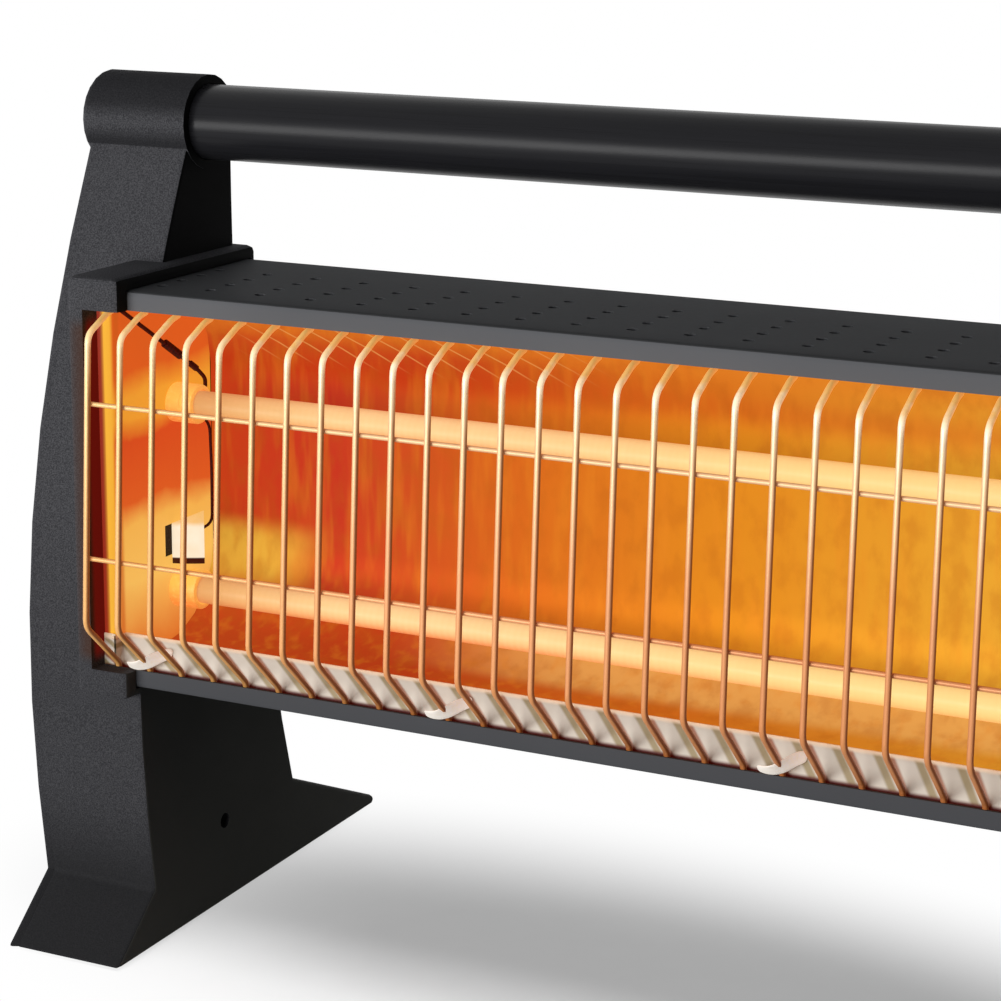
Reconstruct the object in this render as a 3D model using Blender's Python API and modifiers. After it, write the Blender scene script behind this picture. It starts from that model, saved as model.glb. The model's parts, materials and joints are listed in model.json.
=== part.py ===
"""Portable quartz radiant heater: two tubes in a reflector trough, a wire guard, a folded steel housing,
two moulded end legs and a carry bar. Metres, +Z up, the heater faces -Y and its length runs along X."""

import math

import bmesh
import bpy
from mathutils import Matrix, Vector

MM = 0.001

# Fits
FIT = 0.3 * MM
OVERRUN = 1.0 * MM

# Wire guard
WIRE_COUNT = 30
WIRE_PITCH = 13.3 * MM
WIRE_RADIUS = 1.25 * MM
ROD_RADIUS = 0.95 * MM
WELD_BITE = 0.3 * MM
GUARD_TOP_REACH = 11.8 * MM
GUARD_TOP_DROP = 6.7 * MM
GUARD_BELLY = 22.0 * MM
GUARD_BOTTOM_REACH = 20.2 * MM
GUARD_BOTTOM_RISE = 20.0 * MM
GUARD_TAIL = 9.0 * MM
GUARD_HEAD = 4.0 * MM
GUARD_BEND_RADIUS = 5.0 * MM
ROD_DROPS = (31.7 * MM, 86.3 * MM)
STRAP_EVERY = 9
STRAP_FIRST = 1

# Folded housing
HOUSING_BOTTOM = 102.2 * MM
HOUSING_DEPTH = 81.3 * MM
OPENING_HEIGHT = 129.9 * MM
LIP_HEIGHT = 6.8 * MM
SHEET = 1.0 * MM
FOLD_RADIUS = 2.0 * MM
HOUSING_PAST_WIRES = 6.0 * MM
VENT_COLUMNS = 19
VENT_ROWS = 4
VENT_PITCH_X = 20.0 * MM
VENT_PITCH_Y = 12.5 * MM
VENT_FIRST_ROW = 15.0 * MM
VENT_RADIUS = 2.0 * MM
BACK_SLOTS = 9
BACK_SLOT_PITCH = 36.0 * MM
BACK_SLOT_LENGTH = 24.0 * MM
BACK_SLOT_HEIGHT = 4.0 * MM
BACK_SLOT_DROPS = (22.0 * MM, 34.0 * MM)

# Reflector trough and its end plates
REFLECTOR_SHEET = 0.8 * MM
REFLECTOR_BACK = 68.0 * MM
REFLECTOR_FRONT = 3.0 * MM
REFLECTOR_CURVE = 34.0 * MM
REFLECTOR_DROP = 1.2 * MM
REFLECTOR_RISE = 3.0 * MM
END_PLATE_OUT = 3.0 * MM
END_PLATE_SHEET = 0.8 * MM
END_FLANGE_RADIUS = 3.0 * MM
WINDOW_FRONT = 36.0 * MM
WINDOW_WIDTH = 24.0 * MM
WINDOW_HEIGHT = 12.0 * MM
WINDOW_ABOVE_TUBE = 13.0 * MM

# Quartz tubes, coils and ceramic caps
TUBE_RADIUS = 5.0 * MM
TUBE_WALL = 1.2 * MM
TUBE_Y = 45.0 * MM
LOWER_TUBE_Z = 127.0 * MM
UPPER_TUBE_Z = 197.0 * MM
CAP_RADIUS = 7.3 * MM
CAP_LENGTH = 10.5 * MM
CAP_SOCKET = 6.5 * MM
CAP_NECK_RADIUS = 5.2 * MM
CAP_NECK_LENGTH = 3.0 * MM
LEAD_RADIUS = 0.8 * MM
CRIMP_RADIUS = 2.1 * MM

# End legs
LEG_WIDTH = 48.5 * MM
COLLAR_PAST_WIRE = 8.5 * MM
COLLAR_START = 27.0 * MM
COLLAR_WALL = 3.0 * MM
COLLAR_TOP_WALL = 4.5 * MM
COLLAR_FRONT = 6.0 * MM
COLLAR_ROUND = 2.5 * MM
COVER_SHEET = 2.5 * MM
COVER_ROUND = 0.8 * MM
LEG_SHELL = 4.0 * MM
POCKET_DEPTH = 28.0 * MM
POCKET_FLOOR = 26.0 * MM
POCKET_TOP = 236.0 * MM
FOOT_FRONT = 15.5 * MM
FOOT_BACK = 172.0 * MM
FOOT_TIP = 3.2 * MM
FOOT_FRONT_HEIGHT = 22.4 * MM
FOOT_BACK_HEIGHT = 33.0 * MM
LEG_FRONT_Y = 9.3 * MM
LEG_FRONT_SWELL = (-3.5 * MM, 112.0 * MM)
LEG_FRONT_SWEEP = (-1.7 * MM, 180.0 * MM)
ARM_FRONT_Y = 49.5 * MM
LEG_BACK_Y = 107.6 * MM
LEG_BACK_SWELL = (93.0 * MM, 80.0 * MM)
ARM_BACK_Y = 80.0 * MM
LEG_BACK_SWEEP_Z = 150.0 * MM
ARM_TOP = 290.0 * MM
ARM_WIDTH = 41.5 * MM
STEP_BACK = 0.3 * MM
EDGE_ROUND = 1.2 * MM
LEG_ROUND = 1.6 * MM
SCREW_WELL_Y = 56.5 * MM
SCREW_WELL_Z = 33.0 * MM
SCREW_WELL_RADIUS = 3.0 * MM
SCREW_WELL_DEPTH = 8.0 * MM

# Carry bar and its socket heads
BAR_RADIUS = 13.75 * MM
BAR_WALL = 1.5 * MM
BAR_Y = 64.5 * MM
BAR_Z = 298.0 * MM
HEAD_RADIUS = 17.3 * MM
HEAD_PROUD = 3.0 * MM
HEAD_ROUND = 3.0 * MM
SOCKET_DEPTH = 18.0 * MM

# Rubber pads under the feet
PAD_PROUD = 1.0 * MM
PAD_HEIGHT = 3.0 * MM
PAD_RADIUS = 7.0 * MM
PAD_INBOARD = 24.0 * MM
PAD_ROWS = (8.0 * MM, 145.0 * MM)

# Selector switch in the right leg
SELECTOR_Y = 48.0 * MM
SELECTOR_Z = 176.0 * MM
SWITCH_SIDE = 28.0 * MM
SWITCH_DEPTH = 20.0 * MM
SHAFT_RADIUS = 3.0 * MM
SHAFT_IN = 14.0 * MM
KNOB_RADIUS = 18.0 * MM
KNOB_TOP_RADIUS = 15.5 * MM
KNOB_HEIGHT = 15.0 * MM
KNOB_GAP = 0.5 * MM
KNOB_BORE = 9.0 * MM
KNOB_GRIP_WIDTH = 7.0 * MM
KNOB_GRIP_CUT = 8.0 * MM

# Tip-over switch in the right foot
PLUNGER_Y = 56.0 * MM
PLUNGER_INBOARD = 20.0 * MM
PLUNGER_RADIUS = 4.0 * MM
PLUNGER_FLOOR_GAP = 0.3 * MM
PLUNGER_COLLAR_RADIUS = 6.0 * MM
PLUNGER_COLLAR_HEIGHT = 2.0 * MM
PLUNGER_TRAVEL = 5.0 * MM
TIP_SWITCH_SIZE = (14.0 * MM, 22.0 * MM, 18.0 * MM)

# Mains entry in the right leg
TERMINAL_SIZE = (12.0 * MM, 34.0 * MM, 16.0 * MM)
TERMINAL_Y = 52.0 * MM
TERMINAL_Z = 122.0 * MM
TERMINAL_WAYS = 3
TERMINAL_WAY_RADIUS = 2.2 * MM
GLAND_Z = 78.0 * MM
GLAND_INBOARD = 16.0 * MM
GLAND_NECK_RADIUS = 5.0 * MM
GLAND_FLANGE_RADIUS = 8.0 * MM
GLAND_FLANGE_SHEET = 2.5 * MM
GLAND_NOSE = 8.0 * MM
GLAND_BORE_RADIUS = 3.2 * MM
GLAND_SEAT_SINK = 1.9 * MM
GLAND_NECK_PAST = 2.0 * MM

# Facets
ROUND_STEPS = 24
SMALL_STEPS = 12
VENT_STEPS = 8
ARC_STEPS = 5
CURVE_STEPS = 8
SHARP_ANGLE = 35

# Worked out from the driving dimensions
GUARD_HALF = (WIRE_COUNT - 1) * WIRE_PITCH / 2
INNER_X = GUARD_HALF - COLLAR_PAST_WIRE
OUTER_X = INNER_X + LEG_WIDTH
HOUSING_HALF = GUARD_HALF + HOUSING_PAST_WIRES
LOW_LIP_TOP = HOUSING_BOTTOM + LIP_HEIGHT
HIGH_LIP_BOTTOM = LOW_LIP_TOP + OPENING_HEIGHT
HOUSING_TOP = HIGH_LIP_BOTTOM + LIP_HEIGHT
COLLAR_BOTTOM = HOUSING_BOTTOM - FIT - COLLAR_WALL
COLLAR_TOP = HOUSING_TOP + FIT + COLLAR_TOP_WALL
COLLAR_BACK = HOUSING_DEPTH + FIT + COLLAR_WALL
RECESS_INBOARD = OUTER_X - HOUSING_HALF - FIT
STRIP_TOP = LOW_LIP_TOP - REFLECTOR_DROP
REFLECTOR_TOP = HIGH_LIP_BOTTOM + REFLECTOR_RISE
PLATE_X = GUARD_HALF + END_PLATE_OUT
MOULDING_START = COVER_SHEET + FIT
KNOB_OUT = KNOB_GAP + KNOB_HEIGHT
FRONT_REACH = GUARD_BELLY
MIDDLE_X = (KNOB_OUT - HEAD_PROUD) / 2
HEAD_IN = ARM_WIDTH + STEP_BACK
HEAD_LENGTH = HEAD_PROUD + HEAD_IN

PARTS = bpy.data.collections.new("radiant_heater")
CUTTERS = bpy.data.collections.new("cutters")
TO_LENGTH = Matrix(((0, 0, 1, 0), (1, 0, 0, 0), (0, 1, 0, 0), (0, 0, 0, 1)))
TO_DEPTH = Matrix(((1, 0, 0, 0), (0, 0, 1, 0), (0, -1, 0, 0), (0, 0, 0, 1)))
UPRIGHT = Matrix.Identity(4)


# Scene

def clear_scene():
    for old in list(bpy.data.objects):
        bpy.data.objects.remove(old, do_unlink=True)
    for collection in (PARTS, CUTTERS):
        bpy.context.scene.collection.children.link(collection)


def material(name, colour, roughness, metallic=0.0):
    made = bpy.data.materials.new(name)
    made.use_nodes = True
    shader = made.node_tree.nodes["Principled BSDF"]
    shader.inputs["Base Color"].default_value = (*colour, 1.0)
    shader.inputs["Roughness"].default_value = roughness
    shader.inputs["Metallic"].default_value = metallic
    return made


def empty(name, place, parent=None):
    made = bpy.data.objects.new(name, None)
    made.empty_display_size = 10 * MM
    PARTS.objects.link(made)
    made.parent = parent
    made.location = place
    return made


# Shapes

def put(name, data, finish, parent, matrix=None):
    made = bpy.data.objects.new(name, data)
    PARTS.objects.link(made)
    made.parent = parent
    if matrix is not None:
        made.matrix_local = matrix
    if finish is not None:
        data.materials.append(finish)
    return made


def mesh_of(name, shape):
    bmesh.ops.recalc_face_normals(shape, faces=shape.faces)
    data = bpy.data.meshes.new(name)
    shape.to_mesh(data)
    shape.free()
    return smooth_rounds(data)


def smooth_rounds(data):
    """Shades round faces smooth and keeps the edges of flat ones sharp."""
    data.shade_smooth()
    data.set_sharp_from_angle(angle=math.radians(SHARP_ANGLE))
    return data


def solid_from_curve(name, curve, finish, parent, matrix=None, flat=False):
    """The curve's own solid, with its caps welded, as a mesh that a Boolean can use."""
    holder = put(name + "_curve", curve, None, None)
    bpy.context.view_layer.update()
    graph = bpy.context.evaluated_depsgraph_get()
    data = bpy.data.meshes.new_from_object(holder.evaluated_get(graph))
    bpy.data.objects.remove(holder, do_unlink=True)
    shape = bmesh.new()
    shape.from_mesh(data)
    bmesh.ops.remove_doubles(shape, verts=shape.verts, dist=0.00001)
    if flat:
        bmesh.ops.dissolve_limit(shape, angle_limit=0.01, verts=shape.verts, edges=shape.edges)
    bpy.data.meshes.remove(data)
    return put(name, mesh_of(name, shape), finish, parent, matrix)


def sheet_outline(name, points, low, high, finish, parent, turn=TO_LENGTH):
    """A flat outline, drawn as a filled 2D curve and thickened from low to high along its normal."""
    curve = bpy.data.curves.new(name, "CURVE")
    curve.dimensions = "2D"
    curve.fill_mode = "BOTH"
    curve.extrude = (high - low) / 2
    spline = curve.splines.new("POLY")
    spline.points.add(len(points) - 1)
    for point, (across, up) in zip(spline.points, points):
        point.co = (across, up, 0, 1)
    spline.use_cyclic_u = True
    matrix = turn @ Matrix.Translation((0, 0, (low + high) / 2))
    return solid_from_curve(name, curve, finish, parent, matrix, flat=True)


def wire_curve(name, paths, radius, resolution):
    """Round wires along the given paths; a path point is a place with a thickness factor."""
    curve = bpy.data.curves.new(name, "CURVE")
    curve.dimensions = "3D"
    curve.bevel_depth = radius
    curve.bevel_resolution = resolution
    curve.render_resolution_u = 0
    curve.use_fill_caps = True
    for path in paths:
        spline = curve.splines.new("POLY")
        spline.points.add(len(path) - 1)
        for point, (place, thickness) in zip(spline.points, path):
            point.co = (*place, 1)
            point.radius = thickness
    return curve


def turned(name, profile, place, finish, parent, turn=UPRIGHT, steps=ROUND_STEPS, closed=False):
    """A profile of (radius, height) pairs, outer side from top to bottom, turned about the height."""
    shape = bmesh.new()
    corners = [shape.verts.new((radius, 0, height)) for radius, height in profile]
    for first, second in zip(corners, corners[1:]):
        shape.edges.new((first, second))
    if closed:
        shape.edges.new((corners[-1], corners[0]))
    data = bpy.data.meshes.new(name)
    shape.to_mesh(data)
    shape.free()
    made = put(name, data, finish, parent, Matrix.Translation(place) @ turn)
    screw = made.modifiers.new("turn", "SCREW")
    screw.steps = steps
    screw.render_steps = steps
    screw.use_merge_vertices = True
    screw.merge_threshold = 0.00001
    if finish is None:
        return made
    bpy.context.view_layer.update()
    graph = bpy.context.evaluated_depsgraph_get()
    made.data = smooth_rounds(bpy.data.meshes.new_from_object(made.evaluated_get(graph)))
    made.modifiers.clear()
    return made


def block(name, low, high, finish, parent):
    shape = bmesh.new()
    bmesh.ops.create_cube(shape, size=1.0)
    size = Vector(high) - Vector(low)
    middle = (Vector(high) + Vector(low)) / 2
    bmesh.ops.scale(shape, vec=size, verts=shape.verts)
    bmesh.ops.translate(shape, vec=middle, verts=shape.verts)
    return put(name, mesh_of(name, shape), finish, parent)


def rounded(made, width, angle=40, segments=2):
    bevel = made.modifiers.new("round", "BEVEL")
    bevel.width = width
    bevel.segments = segments
    bevel.limit_method = "ANGLE"
    bevel.angle_limit = math.radians(angle)
    return made


def combine(made, other, operation):
    other.hide_render = True
    other.display_type = "WIRE"
    PARTS.objects.unlink(other)
    CUTTERS.objects.link(other)
    change = made.modifiers.new(operation.lower(), "BOOLEAN")
    change.operation = operation
    change.object = other
    change.solver = "EXACT"
    return made


def cut(made, *others):
    for other in others:
        combine(made, other, "DIFFERENCE")
    return made


def join(made, *others):
    for other in others:
        combine(made, other, "UNION")
    return made


def arc(centre, radius, start, end, steps=ARC_STEPS):
    """Points on an arc, angles in degrees from the first axis towards the second."""
    angles = [math.radians(start + (end - start) * i / steps) for i in range(steps + 1)]
    return [(centre[0] + radius * math.cos(a), centre[1] + radius * math.sin(a)) for a in angles]


def bezier(start, first, second, end, share):
    """A point of a cubic Bezier curve, share running from 0 to 1."""
    rest = 1 - share
    weights = (rest**3, 3 * rest**2 * share, 3 * rest * share**2, share**3)
    return tuple(sum(w * p[i] for w, p in zip(weights, (start, first, second, end))) for i in (0, 1))


def height_share(curve, height):
    """The share at which a rising Bezier curve reaches a height."""
    low, high = 0.0, 1.0
    for _ in range(40):
        middle = (low + high) / 2
        if bezier(*curve, middle)[1] < height:
            low = middle
        else:
            high = middle
    return (low + high) / 2


# Leg outline, as (depth, height)

LEG_FRONT_CURVE = (
    (LEG_FRONT_Y, FOOT_FRONT_HEIGHT),
    LEG_FRONT_SWELL,
    LEG_FRONT_SWEEP,
    (ARM_FRONT_Y, ARM_TOP),
)
LEG_BACK_CURVE = (
    (LEG_BACK_Y, FOOT_BACK_HEIGHT),
    LEG_BACK_SWELL,
    (ARM_BACK_Y, LEG_BACK_SWEEP_Z),
    (ARM_BACK_Y, ARM_TOP),
)


def leg_front(height):
    return bezier(*LEG_FRONT_CURVE, height_share(LEG_FRONT_CURVE, height))[0]


def leg_back(height):
    return bezier(*LEG_BACK_CURVE, height_share(LEG_BACK_CURVE, height))[0]


def heights(low, high, steps):
    return [low + (high - low) * i / steps for i in range(steps + 1)]


def foot_outline_front():
    return [(-FOOT_FRONT, PAD_PROUD)]


def foot_outline_back():
    return [(FOOT_BACK, PAD_PROUD + FOOT_TIP), (FOOT_BACK, PAD_PROUD)]


def leg_outline(top):
    """The leg's side outline from the foot up to a height."""
    front = [(leg_front(z), z) for z in heights(FOOT_FRONT_HEIGHT, top, CURVE_STEPS)]
    back = [(leg_back(z), z) for z in heights(FOOT_BACK_HEIGHT, top, CURVE_STEPS)]
    return foot_outline_front() + front + back[::-1] + foot_outline_back()


def across(side, inboard):
    """X at a distance inboard of the outer face of the left (-1) or the right (1) leg."""
    return side * (OUTER_X - inboard)


def span(side, near, far):
    ends = (across(side, near), across(side, far))
    return min(ends), max(ends)


# End legs

def make_leg(side, name, finish, parent):
    leg_span = span(side, MOULDING_START, LEG_WIDTH - STEP_BACK)
    leg = sheet_outline(name, leg_outline(COLLAR_TOP - STEP_BACK), *leg_span, finish, parent)
    rounded(leg, LEG_ROUND, angle=30)

    near, far = span(side, COLLAR_START, LEG_WIDTH)
    collar = block(
        name + "_collar",
        (near, -COLLAR_FRONT, COLLAR_BOTTOM),
        (far, COLLAR_BACK, COLLAR_TOP),
        None,
        parent,
    )
    rounded(collar, COLLAR_ROUND)
    arm_levels = heights(POCKET_TOP, ARM_TOP, 5)
    arm_outline = [(leg_front(z) + STEP_BACK, z) for z in arm_levels]
    arm_outline += [(leg_back(z) - STEP_BACK, z) for z in arm_levels[::-1]]
    arm_span = span(side, MOULDING_START + STEP_BACK, ARM_WIDTH)
    arm = sheet_outline(name + "_arm", arm_outline, *arm_span, None, parent)
    rounded(arm, EDGE_ROUND, angle=30)
    join(leg, collar, arm, socket_head(side, name, parent))

    pocket_levels = heights(POCKET_FLOOR, POCKET_TOP, CURVE_STEPS)
    pocket_outline = [(leg_front(max(z, FOOT_FRONT_HEIGHT)) + LEG_SHELL, z) for z in pocket_levels]
    pocket_outline += [(leg_back(max(z, FOOT_BACK_HEIGHT)) - LEG_SHELL, z) for z in pocket_levels[::-1]]
    pocket_span = span(side, MOULDING_START - OVERRUN, POCKET_DEPTH)
    pocket = sheet_outline(name + "_pocket", pocket_outline, *pocket_span, None, parent)

    inside, outside = span(side, RECESS_INBOARD, LEG_WIDTH + OVERRUN)
    seat = block(
        name + "_housing_seat",
        (inside, -FIT, HOUSING_BOTTOM - FIT),
        (outside, HOUSING_DEPTH + FIT, HOUSING_TOP + FIT),
        None,
        parent,
    )
    mouth = block(
        name + "_mouth",
        (inside, -COLLAR_FRONT - OVERRUN, LOW_LIP_TOP),
        (outside, OVERRUN, HIGH_LIP_BOTTOM),
        None,
        parent,
    )
    well = turned(
        name + "_screw_well",
        [(0, OVERRUN), (SCREW_WELL_RADIUS, OVERRUN), (SCREW_WELL_RADIUS, -SCREW_WELL_DEPTH), (0, -SCREW_WELL_DEPTH)],
        (across(side, LEG_WIDTH), SCREW_WELL_Y, SCREW_WELL_Z),
        None,
        parent,
        turn=along_x(-side),
        steps=SMALL_STEPS,
    )
    cut(leg, pocket, seat, mouth, well)
    for row in PAD_ROWS:
        recess_radius = PAD_RADIUS + FIT
        top = PAD_HEIGHT + FIT
        recess = turned(
            name + "_pad_recess",
            [(0, top), (recess_radius, top), (recess_radius, -OVERRUN), (0, -OVERRUN)],
            (across(side, PAD_INBOARD), row, 0),
            None,
            parent,
        )
        cut(leg, recess)
    return leg


def along_x(direction):
    """Turns a height axis to +X or -X."""
    return TO_LENGTH if direction > 0 else TO_LENGTH @ Matrix.Rotation(math.pi, 4, "Y")


def socket_head(side, name, parent):
    """The round head on the arm; its height runs outwards."""
    shoulder = arc((HEAD_RADIUS - HEAD_ROUND, HEAD_LENGTH - HEAD_ROUND), HEAD_ROUND, 90, 0)
    profile = [(0, HEAD_LENGTH)] + shoulder + [(HEAD_RADIUS, 0), (0, 0)]
    place = (across(side, HEAD_IN), BAR_Y, BAR_Z)
    return turned(name + "_head", profile, place, None, parent, turn=along_x(side))


def bar_socket(side, name, parent):
    """The blind bore in the head that takes the bar's end."""
    bore = BAR_RADIUS + FIT
    profile = [(0, SOCKET_DEPTH), (bore, SOCKET_DEPTH), (bore, -OVERRUN), (0, -OVERRUN)]
    place = (across(side, HEAD_IN), BAR_Y, BAR_Z)
    return turned(name + "_bar_socket", profile, place, None, parent, turn=along_x(side))


def make_cover(side, name, finish, parent):
    """The plate that closes the leg's pocket, flush with the moulding's outline and bitten out under the head."""
    cover = sheet_outline(name, leg_outline(ARM_TOP), *span(side, 0, COVER_SHEET), finish, parent)
    rounded(cover, COVER_ROUND, angle=60)
    bite = HEAD_RADIUS + FIT
    profile = [(0, OVERRUN), (bite, OVERRUN), (bite, -COVER_SHEET - OVERRUN), (0, -COVER_SHEET - OVERRUN)]
    place = (across(side, 0), BAR_Y, BAR_Z)
    return cut(cover, turned(name + "_head_bite", profile, place, None, parent, along_x(side)))


def make_pads(finish, parent):
    for side, hand in ((-1, "left"), (1, "right")):
        for row, place in zip(PAD_ROWS, ("front", "back")):
            profile = [(0, PAD_HEIGHT), (PAD_RADIUS, PAD_HEIGHT), (PAD_RADIUS, 0), (0, 0)]
            spot = (across(side, PAD_INBOARD), row, 0)
            turned(f"{hand}_{place}_foot_pad", profile, spot, finish, parent, steps=ROUND_STEPS)


# Carry bar

def make_bar(finish, parent):
    half = OUTER_X - HEAD_IN + SOCKET_DEPTH - FIT
    inner = BAR_RADIUS - BAR_WALL
    profile = [(BAR_RADIUS, half), (BAR_RADIUS, -half), (inner, -half), (inner, half)]
    turned("handle_bar", profile, (0, BAR_Y, BAR_Z), finish, parent, turn=TO_LENGTH, closed=True)


# Folded housing

def folded(corners, sheet, radius):
    """A folded sheet's section: corners of its outer face in order, turning left at every fold."""
    outer, inner = [], []
    for i, corner in enumerate(corners):
        point = Vector(corner)
        if i in (0, len(corners) - 1):
            near = Vector(corners[1 if i == 0 else -2])
            along = (near - point).normalized() if i == 0 else (point - near).normalized()
            left = Vector((-along.y, along.x))
            outer.append(tuple(point))
            inner.append(tuple(point + left * sheet))
            continue
        before = (point - Vector(corners[i - 1])).normalized()
        after = (Vector(corners[i + 1]) - point).normalized()
        centre = point - before * radius + after * radius
        start = math.degrees(math.atan2(*(point - before * radius - centre).yx))
        outer += arc(centre, radius, start, start + 90, 2)
        inner += arc(centre, radius - sheet, start, start + 90, 2)
    return outer + inner[::-1]


def make_housing(finish, parent):
    corners = [
        (0, LOW_LIP_TOP),
        (0, HOUSING_BOTTOM),
        (HOUSING_DEPTH, HOUSING_BOTTOM),
        (HOUSING_DEPTH, HOUSING_TOP),
        (0, HOUSING_TOP),
        (0, HIGH_LIP_BOTTOM),
    ]
    outline = folded(corners, SHEET, FOLD_RADIUS)
    housing = sheet_outline("housing_shell", outline, -HOUSING_HALF, HOUSING_HALF, finish, parent)
    cut(housing, vent_drills(parent), slot_punches(parent))


def vent_drills(parent):
    """Round drills for the perforated top, in straight rows."""
    shape = bmesh.new()
    height = SHEET + 2 * OVERRUN
    for column in range(VENT_COLUMNS):
        for row in range(VENT_ROWS):
            x = (column - (VENT_COLUMNS - 1) / 2) * VENT_PITCH_X
            y = VENT_FIRST_ROW + row * VENT_PITCH_Y
            spot = Matrix.Translation((x, y, HOUSING_TOP - SHEET / 2))
            bmesh.ops.create_cone(
                shape,
                cap_ends=True,
                segments=VENT_STEPS,
                radius1=VENT_RADIUS,
                radius2=VENT_RADIUS,
                depth=height,
                matrix=spot,
            )
    return put("vent_drills", mesh_of("vent_drills", shape), None, parent)


def slot_punches(parent):
    """Rows of long slots high in the back panel."""
    shape = bmesh.new()
    for drop in BACK_SLOT_DROPS:
        for i in range(BACK_SLOTS):
            x = (i - (BACK_SLOTS - 1) / 2) * BACK_SLOT_PITCH
            spot = Matrix.Translation((x, HOUSING_DEPTH - SHEET / 2, HOUSING_TOP - drop))
            size = Matrix.Diagonal((BACK_SLOT_LENGTH, SHEET + 2 * OVERRUN, BACK_SLOT_HEIGHT, 1))
            bmesh.ops.create_cube(shape, size=1.0, matrix=spot @ size)
    return put("slot_punches", mesh_of("slot_punches", shape), None, parent)


# Reflector

def reflector_face():
    """The bright face of the trough, from its bottom lip to its top lip, as (depth, height)."""
    curve = REFLECTOR_CURVE
    turn_y = REFLECTOR_BACK - curve
    low = arc((turn_y, STRIP_TOP + curve), curve, -90, 0)
    high = arc((turn_y, REFLECTOR_TOP - curve), curve, 0, 90)
    return [(REFLECTOR_FRONT, STRIP_TOP)] + low + high + [(REFLECTOR_FRONT, REFLECTOR_TOP)]


def reflector_rear():
    """The trough's other face, one sheet further out."""
    curve = REFLECTOR_CURVE + REFLECTOR_SHEET
    turn_y = REFLECTOR_BACK - REFLECTOR_CURVE
    low = arc((turn_y, STRIP_TOP + REFLECTOR_CURVE), curve, -90, 0)
    high = arc((turn_y, REFLECTOR_TOP - REFLECTOR_CURVE), curve, 0, 90)
    bottom = [(REFLECTOR_FRONT, STRIP_TOP - REFLECTOR_SHEET)]
    return bottom + low + high + [(REFLECTOR_FRONT, REFLECTOR_TOP + REFLECTOR_SHEET)]


def make_reflector(finish, parent):
    half = PLATE_X - END_PLATE_SHEET - FIT
    outline = reflector_face() + reflector_rear()[::-1]
    sheet_outline("reflector", outline, -half, half, finish, parent)


def make_end_plate(side, name, finish, parent):
    """A flat end for the trough, its front edge rolled outboard to the collar, with two cap seats and a window."""
    plate_in = PLATE_X - END_PLATE_SHEET
    reach = OUTER_X - RECESS_INBOARD - FIT
    bend = END_FLANGE_RADIUS
    front = REFLECTOR_FRONT
    outer_bend = arc((PLATE_X + bend, front + bend), bend, 180, 270, 3)
    inner_radius = bend + END_PLATE_SHEET
    inner_bend = arc((PLATE_X + bend, front + bend), inner_radius, 180, 270, 3)
    outer_face = [(PLATE_X, REFLECTOR_BACK)] + outer_bend + [(reach, front)]
    inner_face = [(plate_in, REFLECTOR_BACK)] + inner_bend + [(reach, front - END_PLATE_SHEET)]
    outline = [(side * x, y) for x, y in outer_face + inner_face[::-1]]
    plate = sheet_outline(name, outline, STRIP_TOP, REFLECTOR_TOP, finish, parent, turn=UPRIGHT)
    for height in (LOWER_TUBE_Z, UPPER_TUBE_Z):
        seat = CAP_NECK_RADIUS + FIT
        reach_through = CAP_NECK_LENGTH
        drill = turned(
            name + "_cap_seat",
            [(0, reach_through), (seat, reach_through), (seat, -reach_through), (0, -reach_through)],
            (side * PLATE_X, TUBE_Y, height),
            None,
            parent,
            turn=TO_LENGTH,
            steps=SMALL_STEPS,
        )
        cut(plate, drill)
    low = LOWER_TUBE_Z + WINDOW_ABOVE_TUBE
    near, far = sorted((side * (plate_in - OVERRUN), side * (PLATE_X + OVERRUN)))
    window = block(
        name + "_window",
        (near, WINDOW_FRONT, low),
        (far, WINDOW_FRONT + WINDOW_WIDTH, low + WINDOW_HEIGHT),
        None,
        parent,
    )
    cut(plate, window)


# Tubes, coils and caps

TUBE_ROWS = (("upper", UPPER_TUBE_Z), ("lower", LOWER_TUBE_Z))
SIDES = ((-1, "left"), (1, "right"))


def make_elements(quartz, coil, ceramic, parent):
    plate_face = PLATE_X - END_PLATE_SHEET
    tube_half = plate_face - FIT - (CAP_LENGTH - CAP_SOCKET) - FIT
    bore = TUBE_RADIUS - TUBE_WALL
    for row, height in TUBE_ROWS:
        place = (0, TUBE_Y, height)
        profile = [(TUBE_RADIUS, tube_half), (TUBE_RADIUS, -tube_half), (bore, -tube_half), (bore, tube_half)]
        turned(f"{row}_quartz_tube", profile, place, quartz, parent, TO_LENGTH, SMALL_STEPS + 4, True)
        inside = bore - FIT
        coil_profile = [(0, tube_half), (inside, tube_half), (inside, -tube_half), (0, -tube_half)]
        turned(f"{row}_heating_coil", coil_profile, place, coil, parent, TO_LENGTH, SMALL_STEPS)
        for side, hand in SIDES:
            make_cap(side, f"{hand}_{row}_ceramic_cap", height, ceramic, parent)


def make_cap(side, name, height, finish, parent):
    """A turned ceramic cap: its height runs inboard from the end plate, with a neck through the plate."""
    socket = TUBE_RADIUS + FIT
    shoulder = CAP_RADIUS - CAP_NECK_RADIUS
    mouth = CAP_LENGTH
    profile = [(socket, mouth), (CAP_RADIUS, mouth)]
    profile += arc((CAP_RADIUS - shoulder, shoulder), shoulder, 0, -90, 3)
    profile += [(CAP_NECK_RADIUS, -CAP_NECK_LENGTH), (0, -CAP_NECK_LENGTH)]
    profile = [(0, mouth - CAP_SOCKET), (socket, mouth - CAP_SOCKET)] + profile
    spot = (side * (PLATE_X - END_PLATE_SHEET - FIT), TUBE_Y, height)
    turned(name, profile, spot, finish, parent, along_x(-side), SMALL_STEPS + 4)


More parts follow.
